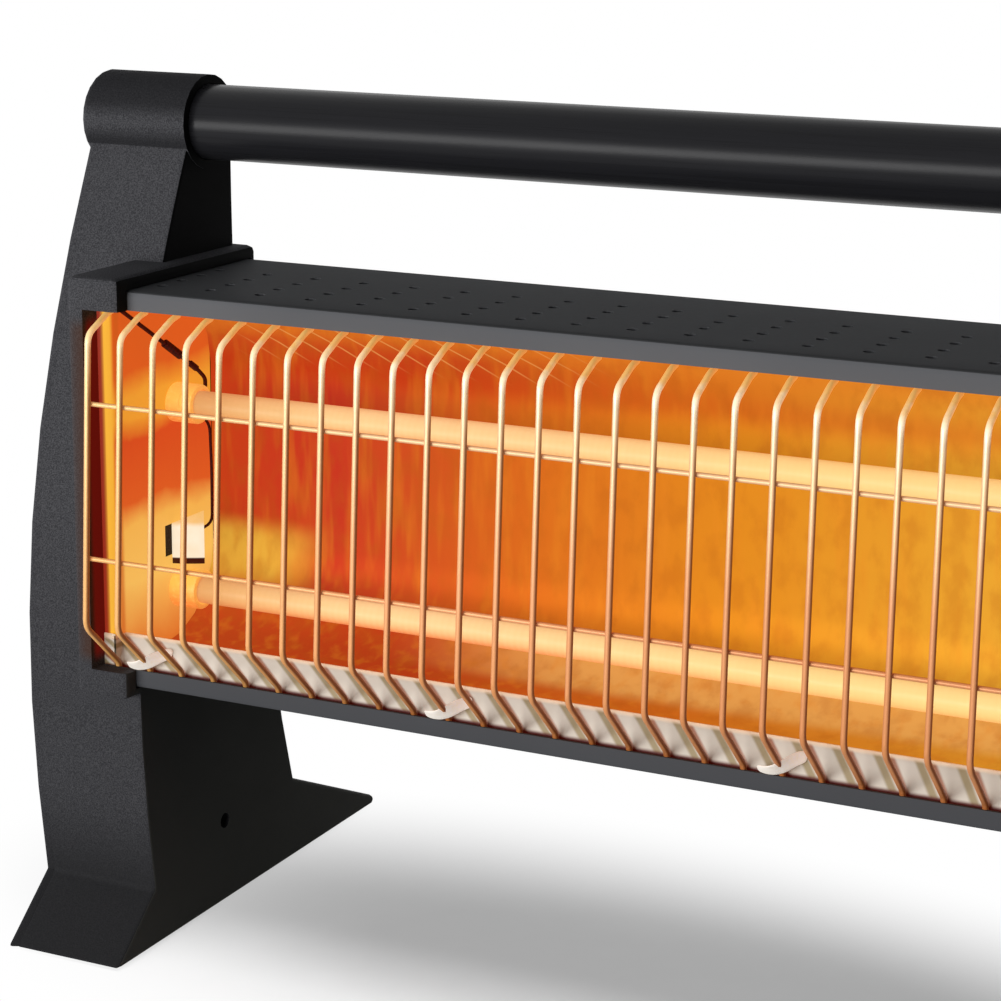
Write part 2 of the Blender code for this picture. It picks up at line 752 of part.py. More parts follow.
def make_leads(side, hand, finish, parent):
    """The feed lead with its crimp sleeves, and the jumper that leaves through the plate's window."""
    plate = PLATE_X - END_PLATE_SHEET
    cap_mouth = plate - FIT - CAP_LENGTH
    tip = CAP_RADIUS + LEAD_RADIUS + FIT
    start = Vector((plate - 2 * MM, REFLECTOR_FRONT + 6 * MM, REFLECTOR_TOP - 4 * MM))
    end = Vector((cap_mouth + 3 * MM, TUBE_Y, UPPER_TUBE_Z + tip))
    sleeve = CRIMP_RADIUS / LEAD_RADIUS
    stations = ((0, 1), (0.44, 1), (0.46, sleeve), (0.66, sleeve), (0.68, 1), (0.76, 1), (0.77, sleeve))
    stations += ((0.84, sleeve), (0.85, 1), (1, 1))
    feed = []
    for share, thickness in stations:
        point = start.lerp(end, share)
        feed.append(((side * point.x, point.y, point.z), thickness))
    solid_from_curve(f"{hand}_feed_lead", wire_curve("lead", [feed], LEAD_RADIUS, 1), finish, parent)

    window_low = LOWER_TUBE_Z + WINDOW_ABOVE_TUBE
    entry = window_low + WINDOW_HEIGHT / 2
    drop = UPPER_TUBE_Z - tip
    column = cap_mouth + 3 * MM
    route = [
        (column, TUBE_Y, drop),
        (column, TUBE_Y, entry + 14 * MM),
        (column + 1 * MM, TUBE_Y, entry + 7 * MM),
        (column + 4 * MM, TUBE_Y, entry + 2 * MM),
        (plate - 2 * MM, TUBE_Y, entry),
        (HOUSING_HALF, TUBE_Y, entry),
    ]
    jumper = [((side * x, y, z), 1) for x, y, z in route]
    solid_from_curve(f"{hand}_jumper_lead", wire_curve("lead", [jumper], LEAD_RADIUS, 1), finish, parent)


# Wire guard

def wire_run():
    """One guard wire from behind the top lip, under it, down the bowed front and back over the bottom lip."""
    under_lip = HIGH_LIP_BOTTOM - WIRE_RADIUS - 2 * FIT
    over_lip = LOW_LIP_TOP + WIRE_RADIUS + 2 * FIT
    top_bend = (-GUARD_TOP_REACH, HIGH_LIP_BOTTOM - GUARD_TOP_DROP)
    low_bend = (-GUARD_BOTTOM_REACH, LOW_LIP_TOP + GUARD_BOTTOM_RISE)
    belly = (-GUARD_BELLY, (top_bend[1] + low_bend[1]) / 2)
    front = [bezier(top_bend, belly, belly, low_bend, share) for share in (0.06, 0.2, 0.4, 0.6, 0.8, 0.95)]
    before = (top_bend[0] + GUARD_BEND_RADIUS / 2, top_bend[1] + GUARD_BEND_RADIUS / 5)
    after = (low_bend[0] + GUARD_BEND_RADIUS / 3, low_bend[1] - GUARD_BEND_RADIUS / 3)
    tail = (GUARD_TAIL, STRIP_TOP + WIRE_RADIUS + FIT)
    return [(GUARD_HEAD, under_lip + SHEET), (0, under_lip), before] + front + [after, (0, over_lip), tail]


def depth_at(run, height):
    """How deep the wire's front lies at a height."""
    for (y0, z0), (y1, z1) in zip(run, run[1:]):
        if z1 <= height <= z0 and z0 > z1:
            return y0 + (y1 - y0) * (z0 - height) / (z0 - z1)
    return -GUARD_BELLY


def make_guard(finish, parent):
    run = wire_run()
    wires = []
    for i in range(WIRE_COUNT):
        x = i * WIRE_PITCH - GUARD_HALF
        wires.append([((x, y, z), 1) for y, z in run])
    guard = solid_from_curve("wire_guard", wire_curve("wires", wires, WIRE_RADIUS, 1), finish, parent)
    behind = WIRE_RADIUS + ROD_RADIUS - WELD_BITE
    lines = []
    for drop in ROD_DROPS:
        height = HIGH_LIP_BOTTOM - drop
        lines.append((depth_at(run, height) + behind, height))
    (y0, z0), (y1, z1) = run[-3], run[-2]
    down_the_slope = Vector((y1 - y0, z1 - z0)).normalized()
    below = Vector((down_the_slope.y, -down_the_slope.x)) * behind
    low_height = LOW_LIP_TOP + ROD_RADIUS + 2 * FIT
    lines.append((depth_at(run, low_height - below.y) + below.x, low_height))
    half = GUARD_HALF + WIRE_RADIUS
    rods = [[((-half, y, z), 1), ((half, y, z), 1)] for y, z in lines]
    join(guard, solid_from_curve("cross_rods", wire_curve("rods", rods, ROD_RADIUS, 1), None, parent))


def make_straps(finish, parent):
    """Pressed straps over the wires' tails on the reflector's bottom strip."""
    sheet = REFLECTOR_SHEET
    rise = 2 * WIRE_RADIUS + 4 * FIT
    half = WIRE_RADIUS + 1.5 * FIT
    foot = 5 * MM
    base = STRIP_TOP + FIT
    count = (WIRE_COUNT - 1 - STRAP_FIRST) // STRAP_EVERY + 1
    for i in range(count):
        x = (STRAP_FIRST + i * STRAP_EVERY) * WIRE_PITCH - GUARD_HALF
        lower = [(-half - foot, 0), (-half - sheet, 0), (-half, rise), (half, rise), (half + sheet, 0), (half + foot, 0)]
        upper = [
            (half + foot, sheet),
            (half + 2 * sheet, sheet),
            (half + sheet / 2, rise + sheet),
            (-half - sheet / 2, rise + sheet),
            (-half - 2 * sheet, sheet),
            (-half - foot, sheet),
        ]
        outline = [(x + across_wire, -base - up) for across_wire, up in lower + upper]
        strap_front = REFLECTOR_FRONT + 1 * MM
        sheet_outline(f"guard_strap_{i + 1}", outline, strap_front, GUARD_TAIL, finish, parent, turn=TO_DEPTH)


# Selector

def make_selector(parent, axis, body, shaft_finish, knob_finish, cover):
    """The rotary switch behind the right cover, its shaft through the cover and its knob outside."""
    near, far = span(1, MOULDING_START, MOULDING_START + SWITCH_DEPTH)
    half = SWITCH_SIDE / 2
    switch = block(
        "selector_switch",
        (near, SELECTOR_Y - half, SELECTOR_Z - half),
        (far, SELECTOR_Y + half, SELECTOR_Z + half),
        body,
        parent,
    )
    rounded(switch, EDGE_ROUND)
    bore = SHAFT_RADIUS + FIT
    drill_profile = [(0, COVER_SHEET + OVERRUN), (bore, COVER_SHEET + OVERRUN), (bore, -SHAFT_IN - FIT), (0, -SHAFT_IN - FIT)]
    spot = (across(1, MOULDING_START), SELECTOR_Y, SELECTOR_Z)
    for part in (switch, cover):
        cut(part, turned("selector_drill", drill_profile, spot, None, parent, along_x(1)))

    shaft_end = MOULDING_START + KNOB_GAP + KNOB_BORE - FIT
    shaft_profile = [(0, shaft_end), (SHAFT_RADIUS, shaft_end), (SHAFT_RADIUS, -SHAFT_IN), (0, -SHAFT_IN)]
    base = -MOULDING_START
    turned("selector_shaft", shaft_profile, (base, 0, 0), shaft_finish, axis, along_x(1))

    knob_bore = SHAFT_RADIUS + FIT
    profile = [(0, KNOB_HEIGHT)]
    crown = KNOB_HEIGHT - EDGE_ROUND
    profile += [(KNOB_TOP_RADIUS - EDGE_ROUND, KNOB_HEIGHT), (KNOB_TOP_RADIUS, crown), (KNOB_RADIUS, 0)]
    profile += [(knob_bore, 0), (knob_bore, KNOB_BORE), (0, KNOB_BORE)]
    knob = turned("selector_knob", profile, (KNOB_GAP, 0, 0), knob_finish, axis, along_x(1))
    for hand in (-1, 1):
        near, far = sorted((hand * KNOB_GRIP_WIDTH / 2, hand * (KNOB_RADIUS + OVERRUN)))
        top = KNOB_GAP + KNOB_HEIGHT + OVERRUN
        floor = KNOB_GAP + KNOB_HEIGHT - KNOB_GRIP_CUT
        low = (floor + SHAFT_RADIUS, near, -KNOB_RADIUS - OVERRUN)
        cut(knob, block("knob_grip_cut", low, (top, far, KNOB_RADIUS + OVERRUN), None, axis))


# Tip-over switch

def make_tip_switch(parent, axis, body, plunger_finish, leg):
    """A sprung plunger through the right foot, under a switch block in the leg's pocket."""
    shoulder = POCKET_FLOOR + PLUNGER_TRAVEL + FIT
    head = shoulder + PLUNGER_COLLAR_HEIGHT
    profile = [(0, head), (PLUNGER_COLLAR_RADIUS, head), (PLUNGER_COLLAR_RADIUS, shoulder), (PLUNGER_RADIUS, shoulder)]
    profile += [(PLUNGER_RADIUS, PLUNGER_FLOOR_GAP), (0, PLUNGER_FLOOR_GAP)]
    turned("tip_plunger", profile, (0, 0, 0), plunger_finish, axis, steps=ROUND_STEPS)
    guide = PLUNGER_RADIUS + FIT
    spot = (across(1, PLUNGER_INBOARD), PLUNGER_Y, 0)
    bore = [(0, POCKET_FLOOR + OVERRUN), (guide, POCKET_FLOOR + OVERRUN), (guide, -OVERRUN), (0, -OVERRUN)]
    cut(leg, turned("plunger_guide", bore, spot, None, parent))
    wide, deep, tall = TIP_SWITCH_SIZE
    near, far = span(1, POCKET_DEPTH - FIT - wide, POCKET_DEPTH - FIT)
    low = head + FIT
    switch = block(
        "tip_switch",
        (near, PLUNGER_Y - deep / 2, low),
        (far, PLUNGER_Y + deep / 2, low + tall),
        body,
        parent,
    )
    rounded(switch, EDGE_ROUND)


# Mains entry

def make_mains_entry(parent, block_finish, gland_finish, leg):
    wide, long, tall = TERMINAL_SIZE
    near, far = span(1, POCKET_DEPTH - FIT - wide, POCKET_DEPTH - FIT)
    terminal = block(
        "terminal_block",
        (near, TERMINAL_Y - long / 2, TERMINAL_Z - tall / 2),
        (far, TERMINAL_Y + long / 2, TERMINAL_Z + tall / 2),
        block_finish,
        parent,
    )
    for i in range(TERMINAL_WAYS):
        y = TERMINAL_Y + (i - (TERMINAL_WAYS - 1) / 2) * long / TERMINAL_WAYS
        reach = tall / 2 + OVERRUN
        drill = [(0, reach), (TERMINAL_WAY_RADIUS, reach), (TERMINAL_WAY_RADIUS, -reach), (0, -reach)]
        cut(terminal, turned("terminal_way", drill, ((near + far) / 2, y, TERMINAL_Z), None, parent, steps=VENT_STEPS))

    seat_y = leg_back(GLAND_Z) - GLAND_SEAT_SINK
    wall_y = leg_back(GLAND_Z) - LEG_SHELL
    spot = (across(1, GLAND_INBOARD), seat_y, GLAND_Z)
    reach = GLAND_FLANGE_RADIUS + FIT
    spot_face = [(0, FOOT_BACK - seat_y), (reach, FOOT_BACK - seat_y), (reach, 0), (0, 0)]
    neck_hole = GLAND_NECK_RADIUS + FIT
    through = wall_y - seat_y - 2 * OVERRUN
    hole = [(0, OVERRUN), (neck_hole, OVERRUN), (neck_hole, through), (0, through)]
    cut(leg, turned("gland_spot_face", spot_face, spot, None, parent, BACKWARDS))
    cut(leg, turned("gland_hole", hole, spot, None, parent, BACKWARDS))
    flange = FIT + GLAND_FLANGE_SHEET
    nose = flange + GLAND_NOSE
    neck_end = wall_y - seat_y - GLAND_NECK_PAST
    profile = [
        (GLAND_BORE_RADIUS, nose),
        (GLAND_NECK_RADIUS, nose),
        (GLAND_NECK_RADIUS + OVERRUN, flange),
        (GLAND_FLANGE_RADIUS, flange),
        (GLAND_FLANGE_RADIUS, FIT),
        (GLAND_NECK_RADIUS, FIT),
        (GLAND_NECK_RADIUS, neck_end),
        (GLAND_BORE_RADIUS, neck_end),
    ]
    turned("cord_gland", profile, spot, gland_finish, parent, BACKWARDS, closed=True)


# A height axis turned to +Y
BACKWARDS = Matrix.Rotation(-math.pi / 2, 4, "X")


def main():
    clear_scene()
    charcoal = material("charcoal_plastic", (0.055, 0.055, 0.06), 0.6)
    cover_finish = material("cover_plastic", (0.05, 0.05, 0.055), 0.55)
    bar_finish = material("satin_black_bar", (0.016, 0.016, 0.018), 0.38)
    painted = material("painted_steel", (0.06, 0.063, 0.068), 0.45)
    bright = material("bright_reflector", (0.85, 0.82, 0.78), 0.18, 1.0)
    chromed = material("chromed_wire", (0.8, 0.72, 0.62), 0.2, 1.0)
    strap_finish = material("white_strap", (0.8, 0.78, 0.74), 0.5)
    quartz = material("glowing_quartz", (0.95, 0.7, 0.35), 0.35)
    coil = material("heating_coil", (0.9, 0.35, 0.1), 0.5)
    ceramic = material("ceramic", (0.82, 0.68, 0.4), 0.6)
    lead = material("dark_lead", (0.05, 0.02, 0.015), 0.6)
    switch_body = material("switch_body", (0.12, 0.12, 0.12), 0.5)
    steel = material("steel_shaft", (0.6, 0.6, 0.6), 0.3, 1.0)
    knob_finish = material("knob_plastic", (0.03, 0.03, 0.032), 0.45)
    white_plastic = material("white_plastic", (0.7, 0.7, 0.68), 0.5)
    rubber = material("rubber", (0.02, 0.02, 0.02), 0.85)

    middle_y = (FOOT_BACK - FRONT_EDGE) / 2
    frame = empty("heater_frame", (-MIDDLE_X, -middle_y, 0))
    selector_axis = empty("selector_axis", (OUTER_X, SELECTOR_Y, SELECTOR_Z), frame)
    plunger_axis = empty("plunger_axis", (across(1, PLUNGER_INBOARD), PLUNGER_Y, 0), frame)

    legs, covers = {}, {}
    for side, hand in SIDES:
        legs[side] = make_leg(side, f"{hand}_leg", charcoal, frame)
        covers[side] = make_cover(side, f"{hand}_side_cover", cover_finish, frame)
        make_end_plate(side, f"{hand}_reflector_end", bright, frame)
        make_leads(side, hand, lead, frame)
    make_pads(rubber, frame)
    make_bar(bar_finish, frame)
    make_housing(painted, frame)
    make_reflector(bright, frame)
    make_elements(quartz, coil, ceramic, frame)
    make_guard(chromed, frame)
    make_straps(strap_finish, frame)
    make_selector(frame, selector_axis, switch_body, steel, knob_finish, covers[1])
    make_tip_switch(frame, plunger_axis, switch_body, white_plastic, legs[1])
    make_mains_entry(frame, white_plastic, rubber, legs[1])
    for side, hand in SIDES:
        legs[side].modifiers.new("split_ring_faces", "TRIANGULATE")
        cut(legs[side], bar_socket(side, f"{hand}_leg", frame))
    bpy.context.view_layer.update()


# The guard's furthest reach forward
FRONT_EDGE = -min(y for y, z in wire_run()) + WIRE_RADIUS

main()
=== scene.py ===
# %% [markdown]
# # A quartz radiant heater, dressed around its frame
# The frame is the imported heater: every sub-part in its place and at its real size. This script gives it
# its looks. Where a sub-part only needs softer edges, a rounded copy of its mesh stands for it. Where the
# real thing has a finer form, such as the guard's round wires or the coils in the tubes, the piece is
# drawn again on the same sizes.

# %% Load the frame
import json
import math

import bmesh
import bpy
from mathutils import Matrix, Vector


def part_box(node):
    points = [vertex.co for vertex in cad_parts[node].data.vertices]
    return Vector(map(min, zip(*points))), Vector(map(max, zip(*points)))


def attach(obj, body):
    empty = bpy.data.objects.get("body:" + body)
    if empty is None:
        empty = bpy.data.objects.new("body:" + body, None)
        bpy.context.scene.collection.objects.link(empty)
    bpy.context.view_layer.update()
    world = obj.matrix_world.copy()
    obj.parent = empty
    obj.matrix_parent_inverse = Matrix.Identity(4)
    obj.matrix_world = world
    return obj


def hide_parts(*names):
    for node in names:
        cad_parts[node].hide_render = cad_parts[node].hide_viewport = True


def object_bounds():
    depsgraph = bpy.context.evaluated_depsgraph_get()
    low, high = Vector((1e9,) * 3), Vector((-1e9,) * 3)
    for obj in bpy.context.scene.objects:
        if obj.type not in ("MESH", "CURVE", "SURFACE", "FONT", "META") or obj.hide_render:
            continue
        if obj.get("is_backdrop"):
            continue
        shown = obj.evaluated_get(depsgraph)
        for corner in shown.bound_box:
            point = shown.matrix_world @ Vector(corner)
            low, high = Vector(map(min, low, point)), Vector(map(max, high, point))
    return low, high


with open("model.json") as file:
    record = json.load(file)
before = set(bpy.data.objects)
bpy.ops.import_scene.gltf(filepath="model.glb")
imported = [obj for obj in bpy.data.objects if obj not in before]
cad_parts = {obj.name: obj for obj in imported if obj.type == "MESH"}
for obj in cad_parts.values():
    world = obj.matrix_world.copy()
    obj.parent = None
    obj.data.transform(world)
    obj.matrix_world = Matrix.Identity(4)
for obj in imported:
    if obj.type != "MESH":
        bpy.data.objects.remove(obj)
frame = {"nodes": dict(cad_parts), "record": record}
cad_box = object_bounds()
nodes = frame["nodes"]
record = frame["record"]
body_of = {node: body for body, members in record["behaviour"]["bodies"].items() for node in members}
scene = bpy.context.scene
print("box", [round(x, 4) for x in cad_box[1] - cad_box[0]])

# %% [markdown]
# Sizes below are in millimetres from a handy corner of the heater: along x from the middle of the
# housing, along y from the front of its lips, and z up from the floor. The frame itself tells where that
# corner is, so nothing has to be fitted by eye.

# %% The heater's own corner
MM = 0.001
shell_low, shell_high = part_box("housing_shell")
MIDDLE_X = (shell_low.x + shell_high.x) / 2
LIP_Y = shell_low.y


def at(x, y, z):
    """A point of the heater, from millimetres to the frame's metres."""
    return Vector((MIDDLE_X + x * MM, LIP_Y + y * MM, z * MM))


def at_x(x):
    return at(x, 0, 0).x


def at_y(y):
    return at(0, y, 0).y


print("housing middle", round(MIDDLE_X, 5), "lip plane", round(LIP_Y, 5))

# %% [markdown]
# ## Camera
# The photograph was taken with a long lens from the right and a little above. The turn, rise and roll
# were found by laying a render over the photograph. The camera's axes are worked out from those angles,
# which is easier to check than aiming it at a point, and a small lens shift gives the photograph's crop.

# %% Camera
VIEW_TURN = math.radians(25.26)
VIEW_RISE = math.radians(11.07)
VIEW_ROLL = math.radians(0.41)
VIEW_PLACE = Vector((0.3322, -0.83166, 0.4035))
VIEW_LENS = 95.77
VIEW_SHIFT = (-0.0594, -0.150)

backward = Vector((
    math.sin(VIEW_TURN) * math.cos(VIEW_RISE),
    -math.cos(VIEW_TURN) * math.cos(VIEW_RISE),
    math.sin(VIEW_RISE)))
level_right = Vector((math.cos(VIEW_TURN), math.sin(VIEW_TURN), 0))
level_up = backward.cross(level_right)
rightward = math.cos(VIEW_ROLL) * level_right + math.sin(VIEW_ROLL) * level_up
axes = Matrix((rightward, backward.cross(rightward), backward)).transposed().to_4x4()
camera = bpy.data.objects.new("camera", bpy.data.cameras.new("camera"))
scene.collection.objects.link(camera)
camera.matrix_world = Matrix.Translation(VIEW_PLACE) @ axes
camera.data.lens = VIEW_LENS
camera.data.shift_x, camera.data.shift_y = VIEW_SHIFT
scene.camera = camera
scene.view_settings.view_transform = "Standard"
print("camera", [round(x, 3) for x in VIEW_PLACE], "lens", VIEW_LENS)

# %% [markdown]
# ## Writing materials as sums
# A finish is a small web of nodes. Adding every Math node by hand hides the idea, so one class wraps a
# socket and lets Python's own signs add the nodes: `1 - mask` or `grain * 0.3` read as they would on
# paper. Any other node comes from its `node` method, which sets the node up first and then fills or links
# its sockets.

# %% A socket that can be added up
class Tone:
    """A socket in a node tree. Sums on it add Math nodes, and node() adds any other node."""

    def __init__(self, tree, socket=None):
        self.tree = tree
        self.socket = socket

    def node(self, kind, settings=None, sockets=None, out=0):
        made = self.tree.nodes.new(kind)
        for name, value in (settings or {}).items():
            if name == "stops":
                self.set_stops(made.color_ramp, value)
            else:
                setattr(made, name, value)
        for name, value in (sockets or {}).items():
            if isinstance(value, Tone):
                self.tree.links.new(value.socket, made.inputs[name])
            else:
                made.inputs[name].default_value = value
        return Tone(self.tree, made.outputs[out])

    @staticmethod
    def set_stops(ramp, stops):
        while len(ramp.elements) < len(stops):
            ramp.elements.new(1)
        for element, (place, colour) in zip(ramp.elements, stops):
            element.position = place
            element.color = colour

    def sum(self, operation, *values):
        return self.node("ShaderNodeMath", {"operation": operation}, dict(enumerate(values)))

    def __add__(self, other):
        return self.sum("ADD", self, other)

    def __radd__(self, other):
        return self.sum("ADD", other, self)

    def __sub__(self, other):
        return self.sum("SUBTRACT", self, other)

    def __rsub__(self, other):
        return self.sum("SUBTRACT", other, self)

    def __mul__(self, other):
        return self.sum("MULTIPLY", self, other)

    def __rmul__(self, other):
        return self.sum("MULTIPLY", other, self)

    def into(self, shader, *names):
        for name in names:
            self.tree.links.new(self.socket, shader.inputs[name])


print("tones can be added, subtracted and multiplied")

# %% [markdown]
# Colours are written as a screen shows them, from 0 to 255, and turned into the linear values that
# Blender works in. A few short helpers give what most finishes need: where a point of the surface is, a
# new material, noise, a soft step, a ramp, a mix of two colours and a bump. The surface point comes in
# metres, so heights in the finishes are in metres too.

# %% Colours and new finishes
def tint(red, green, blue):
    """A screen colour as linear red, green, blue and a full alpha."""
    def linear(value):
        share = value / 255
        return share / 12.92 if share <= 0.04045 else ((share + 0.055) / 1.055) ** 2.4
    return (linear(red), linear(green), linear(blue), 1)


def place_of(tone):
    """The surface point in the frame, in metres."""
    return tone.node("ShaderNodeTexCoord", out="Object")


def new_finish(name, **constants):
    """A material with its constant sockets set; returns it, its shader and the surface point."""
    made = bpy.data.materials.new(name)
    made.use_nodes = True
    shader = made.node_tree.nodes["Principled BSDF"]
    for socket, value in constants.items():
        shader.inputs[socket.replace("_", " ")].default_value = value
    return made, shader, place_of(Tone(made.node_tree))


def parts_of(vector):
    """The x, y and z of a vector socket."""
    first = vector.node("ShaderNodeSeparateXYZ", None, {"Vector": vector})
    return [Tone(vector.tree, socket) for socket in first.socket.node.outputs]


def tell(*finishes):
    for made in finishes:
        print(made.name, "has", len(made.node_tree.nodes), "nodes")


BLACK = tint(0, 0, 0)
print("black is", BLACK[0], "and white is", round(tint(255, 255, 255)[0], 3))

# %% Noise, steps and mixes
def noise(point, scale, detail=2, rough=0.5):
    return point.node("ShaderNodeTexNoise", None,
                      {"Vector": point, "Scale": scale, "Detail": detail, "Roughness": rough})


def stretched(point, x, y, z):
    return point.node("ShaderNodeVectorMath", {"operation": "MULTIPLY"}, {0: point, 1: (x, y, z)})


def step(value, start, end):
    """0 before start and 1 after end, with a soft rise between; start may lie past end to fall instead."""
    return value.node("ShaderNodeMapRange", {"interpolation_type": "SMOOTHSTEP"},
                      {"Value": value, "From Min": start, "From Max": end})


def between(value, start, end, soft):
    """1 between start and end and 0 outside them, with soft borders."""
    return step(value, start - soft, start + soft) * step(value, end + soft, end - soft)


def along(value, start, end):
    """Where a value lies between two others, from 0 to 1."""
    return value.node("ShaderNodeMapRange", None, {"Value": value, "From Min": start, "From Max": end})


def ramp(value, *stops):
    return value.node("ShaderNodeValToRGB", {"stops": stops}, {"Fac": value})


def mix(share, first, second):
    """A colour between two others; at least one of the three is a Tone."""
    host = next(value for value in (share, first, second) if isinstance(value, Tone))
    return host.node("ShaderNodeMix", {"data_type": "RGBA"}, {0: share, 6: first, 7: second}, out=2)


def bump(height, strength, distance, shader):
    raised = height.node("ShaderNodeBump", None,
                         {"Strength": strength, "Distance": distance, "Height": height})
    raised.into(shader, "Normal")


print("helpers are ready for noise, steps, ramps, mixes and bumps")

# %% [markdown]
# ## Charcoal moulding
# The end legs and their covers are moulded in a charcoal plastic with a fine spark-eroded grain, which
# scatters light so that the faces look matt. A picture of grain could be used, but noise at the real
# grain size holds up from any distance. It drives a shallow bump, and a slower noise shifts the colour a
# little, as moulded plastic does. Painted shade darkens it over and under the round head, low on the legs
# and on the feet. The walls that face each other carry painted shade that fades from grey near the pale
# floor to black under the bar, and the collar's mouth carries a painted dull red glow from the trough.

# %% Charcoal moulding
FOOT_TOP = 62 * MM
TROUGH_LOW, TROUGH_HIGH = 113 * MM, 234 * MM
COLLAR_WALL = 199.6 * MM
COLLAR_MOUTH = -5.2
HEAD_CREASE = 289.3 * MM
HEAD_LIT_BAND = (0.2945, 0.302)
LEG_FADE, INNER_WALL = (0.2, 0.09), (0.2, 0.195)
WALL_LOW, WALL_HIGH = 0.0, 0.3


def facing_of(tone):
    """Which way the surface faces, as x, y and z from -1 to 1."""
    return parts_of(tone.node("ShaderNodeTexCoord", out="Normal"))


def size_of(value):
    """A value without its sign."""
    return value.sum("ABSOLUTE", value)


def charcoal_shade(tone, side, z, plastic):
    """Painted shade round the head, low on the legs and on the feet, and on the walls that face each other,
    changing with height.
    """
    sideways = step(size_of(facing_of(tone)[0]), 0.6, 0.85)
    head = step(z, HEAD_CREASE, HEAD_CREASE + 0.4 * MM) * (1 - between(z, *HEAD_LIT_BAND, 0.004))
    plastic = mix(0.75 * head * (1 - sideways), plastic, tint(30, 30, 32))
    plastic = mix(0.3 * step(z, *LEG_FADE), plastic, tint(36, 36, 38))
    plastic = mix(0.8 * step(z, FOOT_TOP, 0.3 * FOOT_TOP), plastic, tint(34, 34, 35))
    wall = ramp(along(z, WALL_LOW, WALL_HIGH), (0, tint(98, 98, 94)), (0.25, tint(68, 68, 66)),
                (0.75, tint(26, 26, 26)), (1, tint(12, 12, 12)))
    return mix(sideways * step(side, *INNER_WALL), plastic, wall)


def charcoal_moulding():
    made, shader, point = new_finish("charcoal_moulding", Specular_IOR_Level=0.015, Emission_Strength=1.0)
    x, y, z = parts_of(point)
    grain = noise(point, 2100, rough=0.6)
    cloud = noise(point, 38, detail=3)
    side = size_of(x - MIDDLE_X)
    plastic = mix(step(grain, 0.34, 0.68), tint(54, 54, 57), tint(84, 84, 87))
    plastic = mix(0.12 * cloud, charcoal_shade(point, side, z, plastic), tint(36, 36, 38))
    # Painted glow from the trough: a warm rim on the collar's edge and a dull red, glowing inside of its
    # mouth.
    opening = between(z, TROUGH_LOW, TROUGH_HIGH, 3 * MM)
    rim = opening * step(side, COLLAR_WALL + 8 * MM, COLLAR_WALL) * step(y, at_y(2), at_y(-4))
    plastic = mix(0.6 * rim, plastic, tint(74, 46, 30))
    mouth = between(y, at_y(COLLAR_MOUTH + 1.5), at_y(8), 1.5 * MM)
    inside = opening * mouth * between(side, COLLAR_WALL - 1 * MM, COLLAR_WALL, 0.1 * MM)
    mix(inside, plastic, tint(60, 14, 9)).into(shader, "Base Color")
    mix(inside, BLACK, tint(84, 12, 7)).into(shader, "Emission Color")
    (0.52 + 0.12 * cloud + 0.1 * grain).into(shader, "Roughness")
    bump(grain, 0.45, 0.12 * MM, shader)
    return made


CHARCOAL = charcoal_moulding()
tell(CHARCOAL)

# %% [markdown]
# ## Satin bar
# The carry bar is a steel tube in satin black. One flat colour would read as plastic. Tube is drawn
# lengthwise, so it has faint lines along x: the noise is squeezed across the bar and stretched along it.
# The gloss is high enough for one narrow highlight.

# %% Satin bar
def satin_bar():
    made, shader, point = new_finish("satin_bar", Specular_IOR_Level=0.095)
    drawn = noise(stretched(point, 6, 260, 260), 3, detail=3)
    mix(drawn, tint(25, 25, 27), tint(35, 35, 38)).into(shader, "Base Color")
    (0.24 + 0.08 * drawn).into(shader, "Roughness")
    bump(noise(point, 900), 0.08, 0.08 * MM, shader)
    return made


SATIN = satin_bar()
tell(SATIN)

# %% [markdown]
# ## Enamelled steel
# The housing is folded from sheet steel and sprayed with grey enamel. Sprayed paint dries with a faint
# dimple, the orange peel. Painted shade makes it a little darker on the top and towards the bottom. A
# painted picture would need an unwrapped mesh. Slow noise, the way that a face points and its height need
# none.

# %% Enamelled steel
LOWER_HALF = (0.2, 0.11)


def enamelled_steel():
    made, shader, point = new_finish("enamelled_steel", Specular_IOR_Level=0.004)
    z = parts_of(point)[2]
    peel = noise(point, 520)
    cloud = noise(point, 18)
    paint = mix(cloud, tint(92, 93, 96), tint(103, 104, 107))
    # Painted shade: darker on faces that point up and towards the bottom.
    paint = mix(0.4 * step(facing_of(point)[2], 0.5, 0.9), paint, tint(70, 71, 71))
    mix(0.75 * step(z, *LOWER_HALF), paint, tint(68, 69, 72)).into(shader, "Base Color")
    (0.44 + 0.14 * peel).into(shader, "Roughness")
    bump(peel, 0.16, 0.15 * MM, shader)
    return made


ENAMEL = enamelled_steel()
tell(ENAMEL)

# %% [markdown]
# ## Lit reflector
# The trough is bright sheet metal, and with the tubes on it is filled with their light. Real lamps inside
# would need very many samples to render without specks, so the sheet itself glows softly. Its colour runs
# from a deep red beside the cold end to amber, with upright streaks from rolling, a pale patch at the
# left end, a redder band where the wall curves over and a pale one under the lower tube. The sheet still
# mirrors the tubes and wires a little, because it is part metallic.

# %% Colour of the lit trough
GLOW_LEFT, GLOW_RIGHT = at_x(-195), at_x(125)
TOP_CURVE, LOW_CURVE = (0.203, 0.214), (0.126, 0.119)
PALE_END, PALE_PATCH = (at_x(-138), at_x(-178)), (0.126, 0.147)
TO_THE_RIGHT = (at_x(-120), at_x(-30))
RED_BAND, LIGHT_TOP = (0.205, 0.2135), (0.2165, 0.226)
PALE_BAND, RED_FLOOR = (0.1105, 0.119), (0.1165, 0.1095)


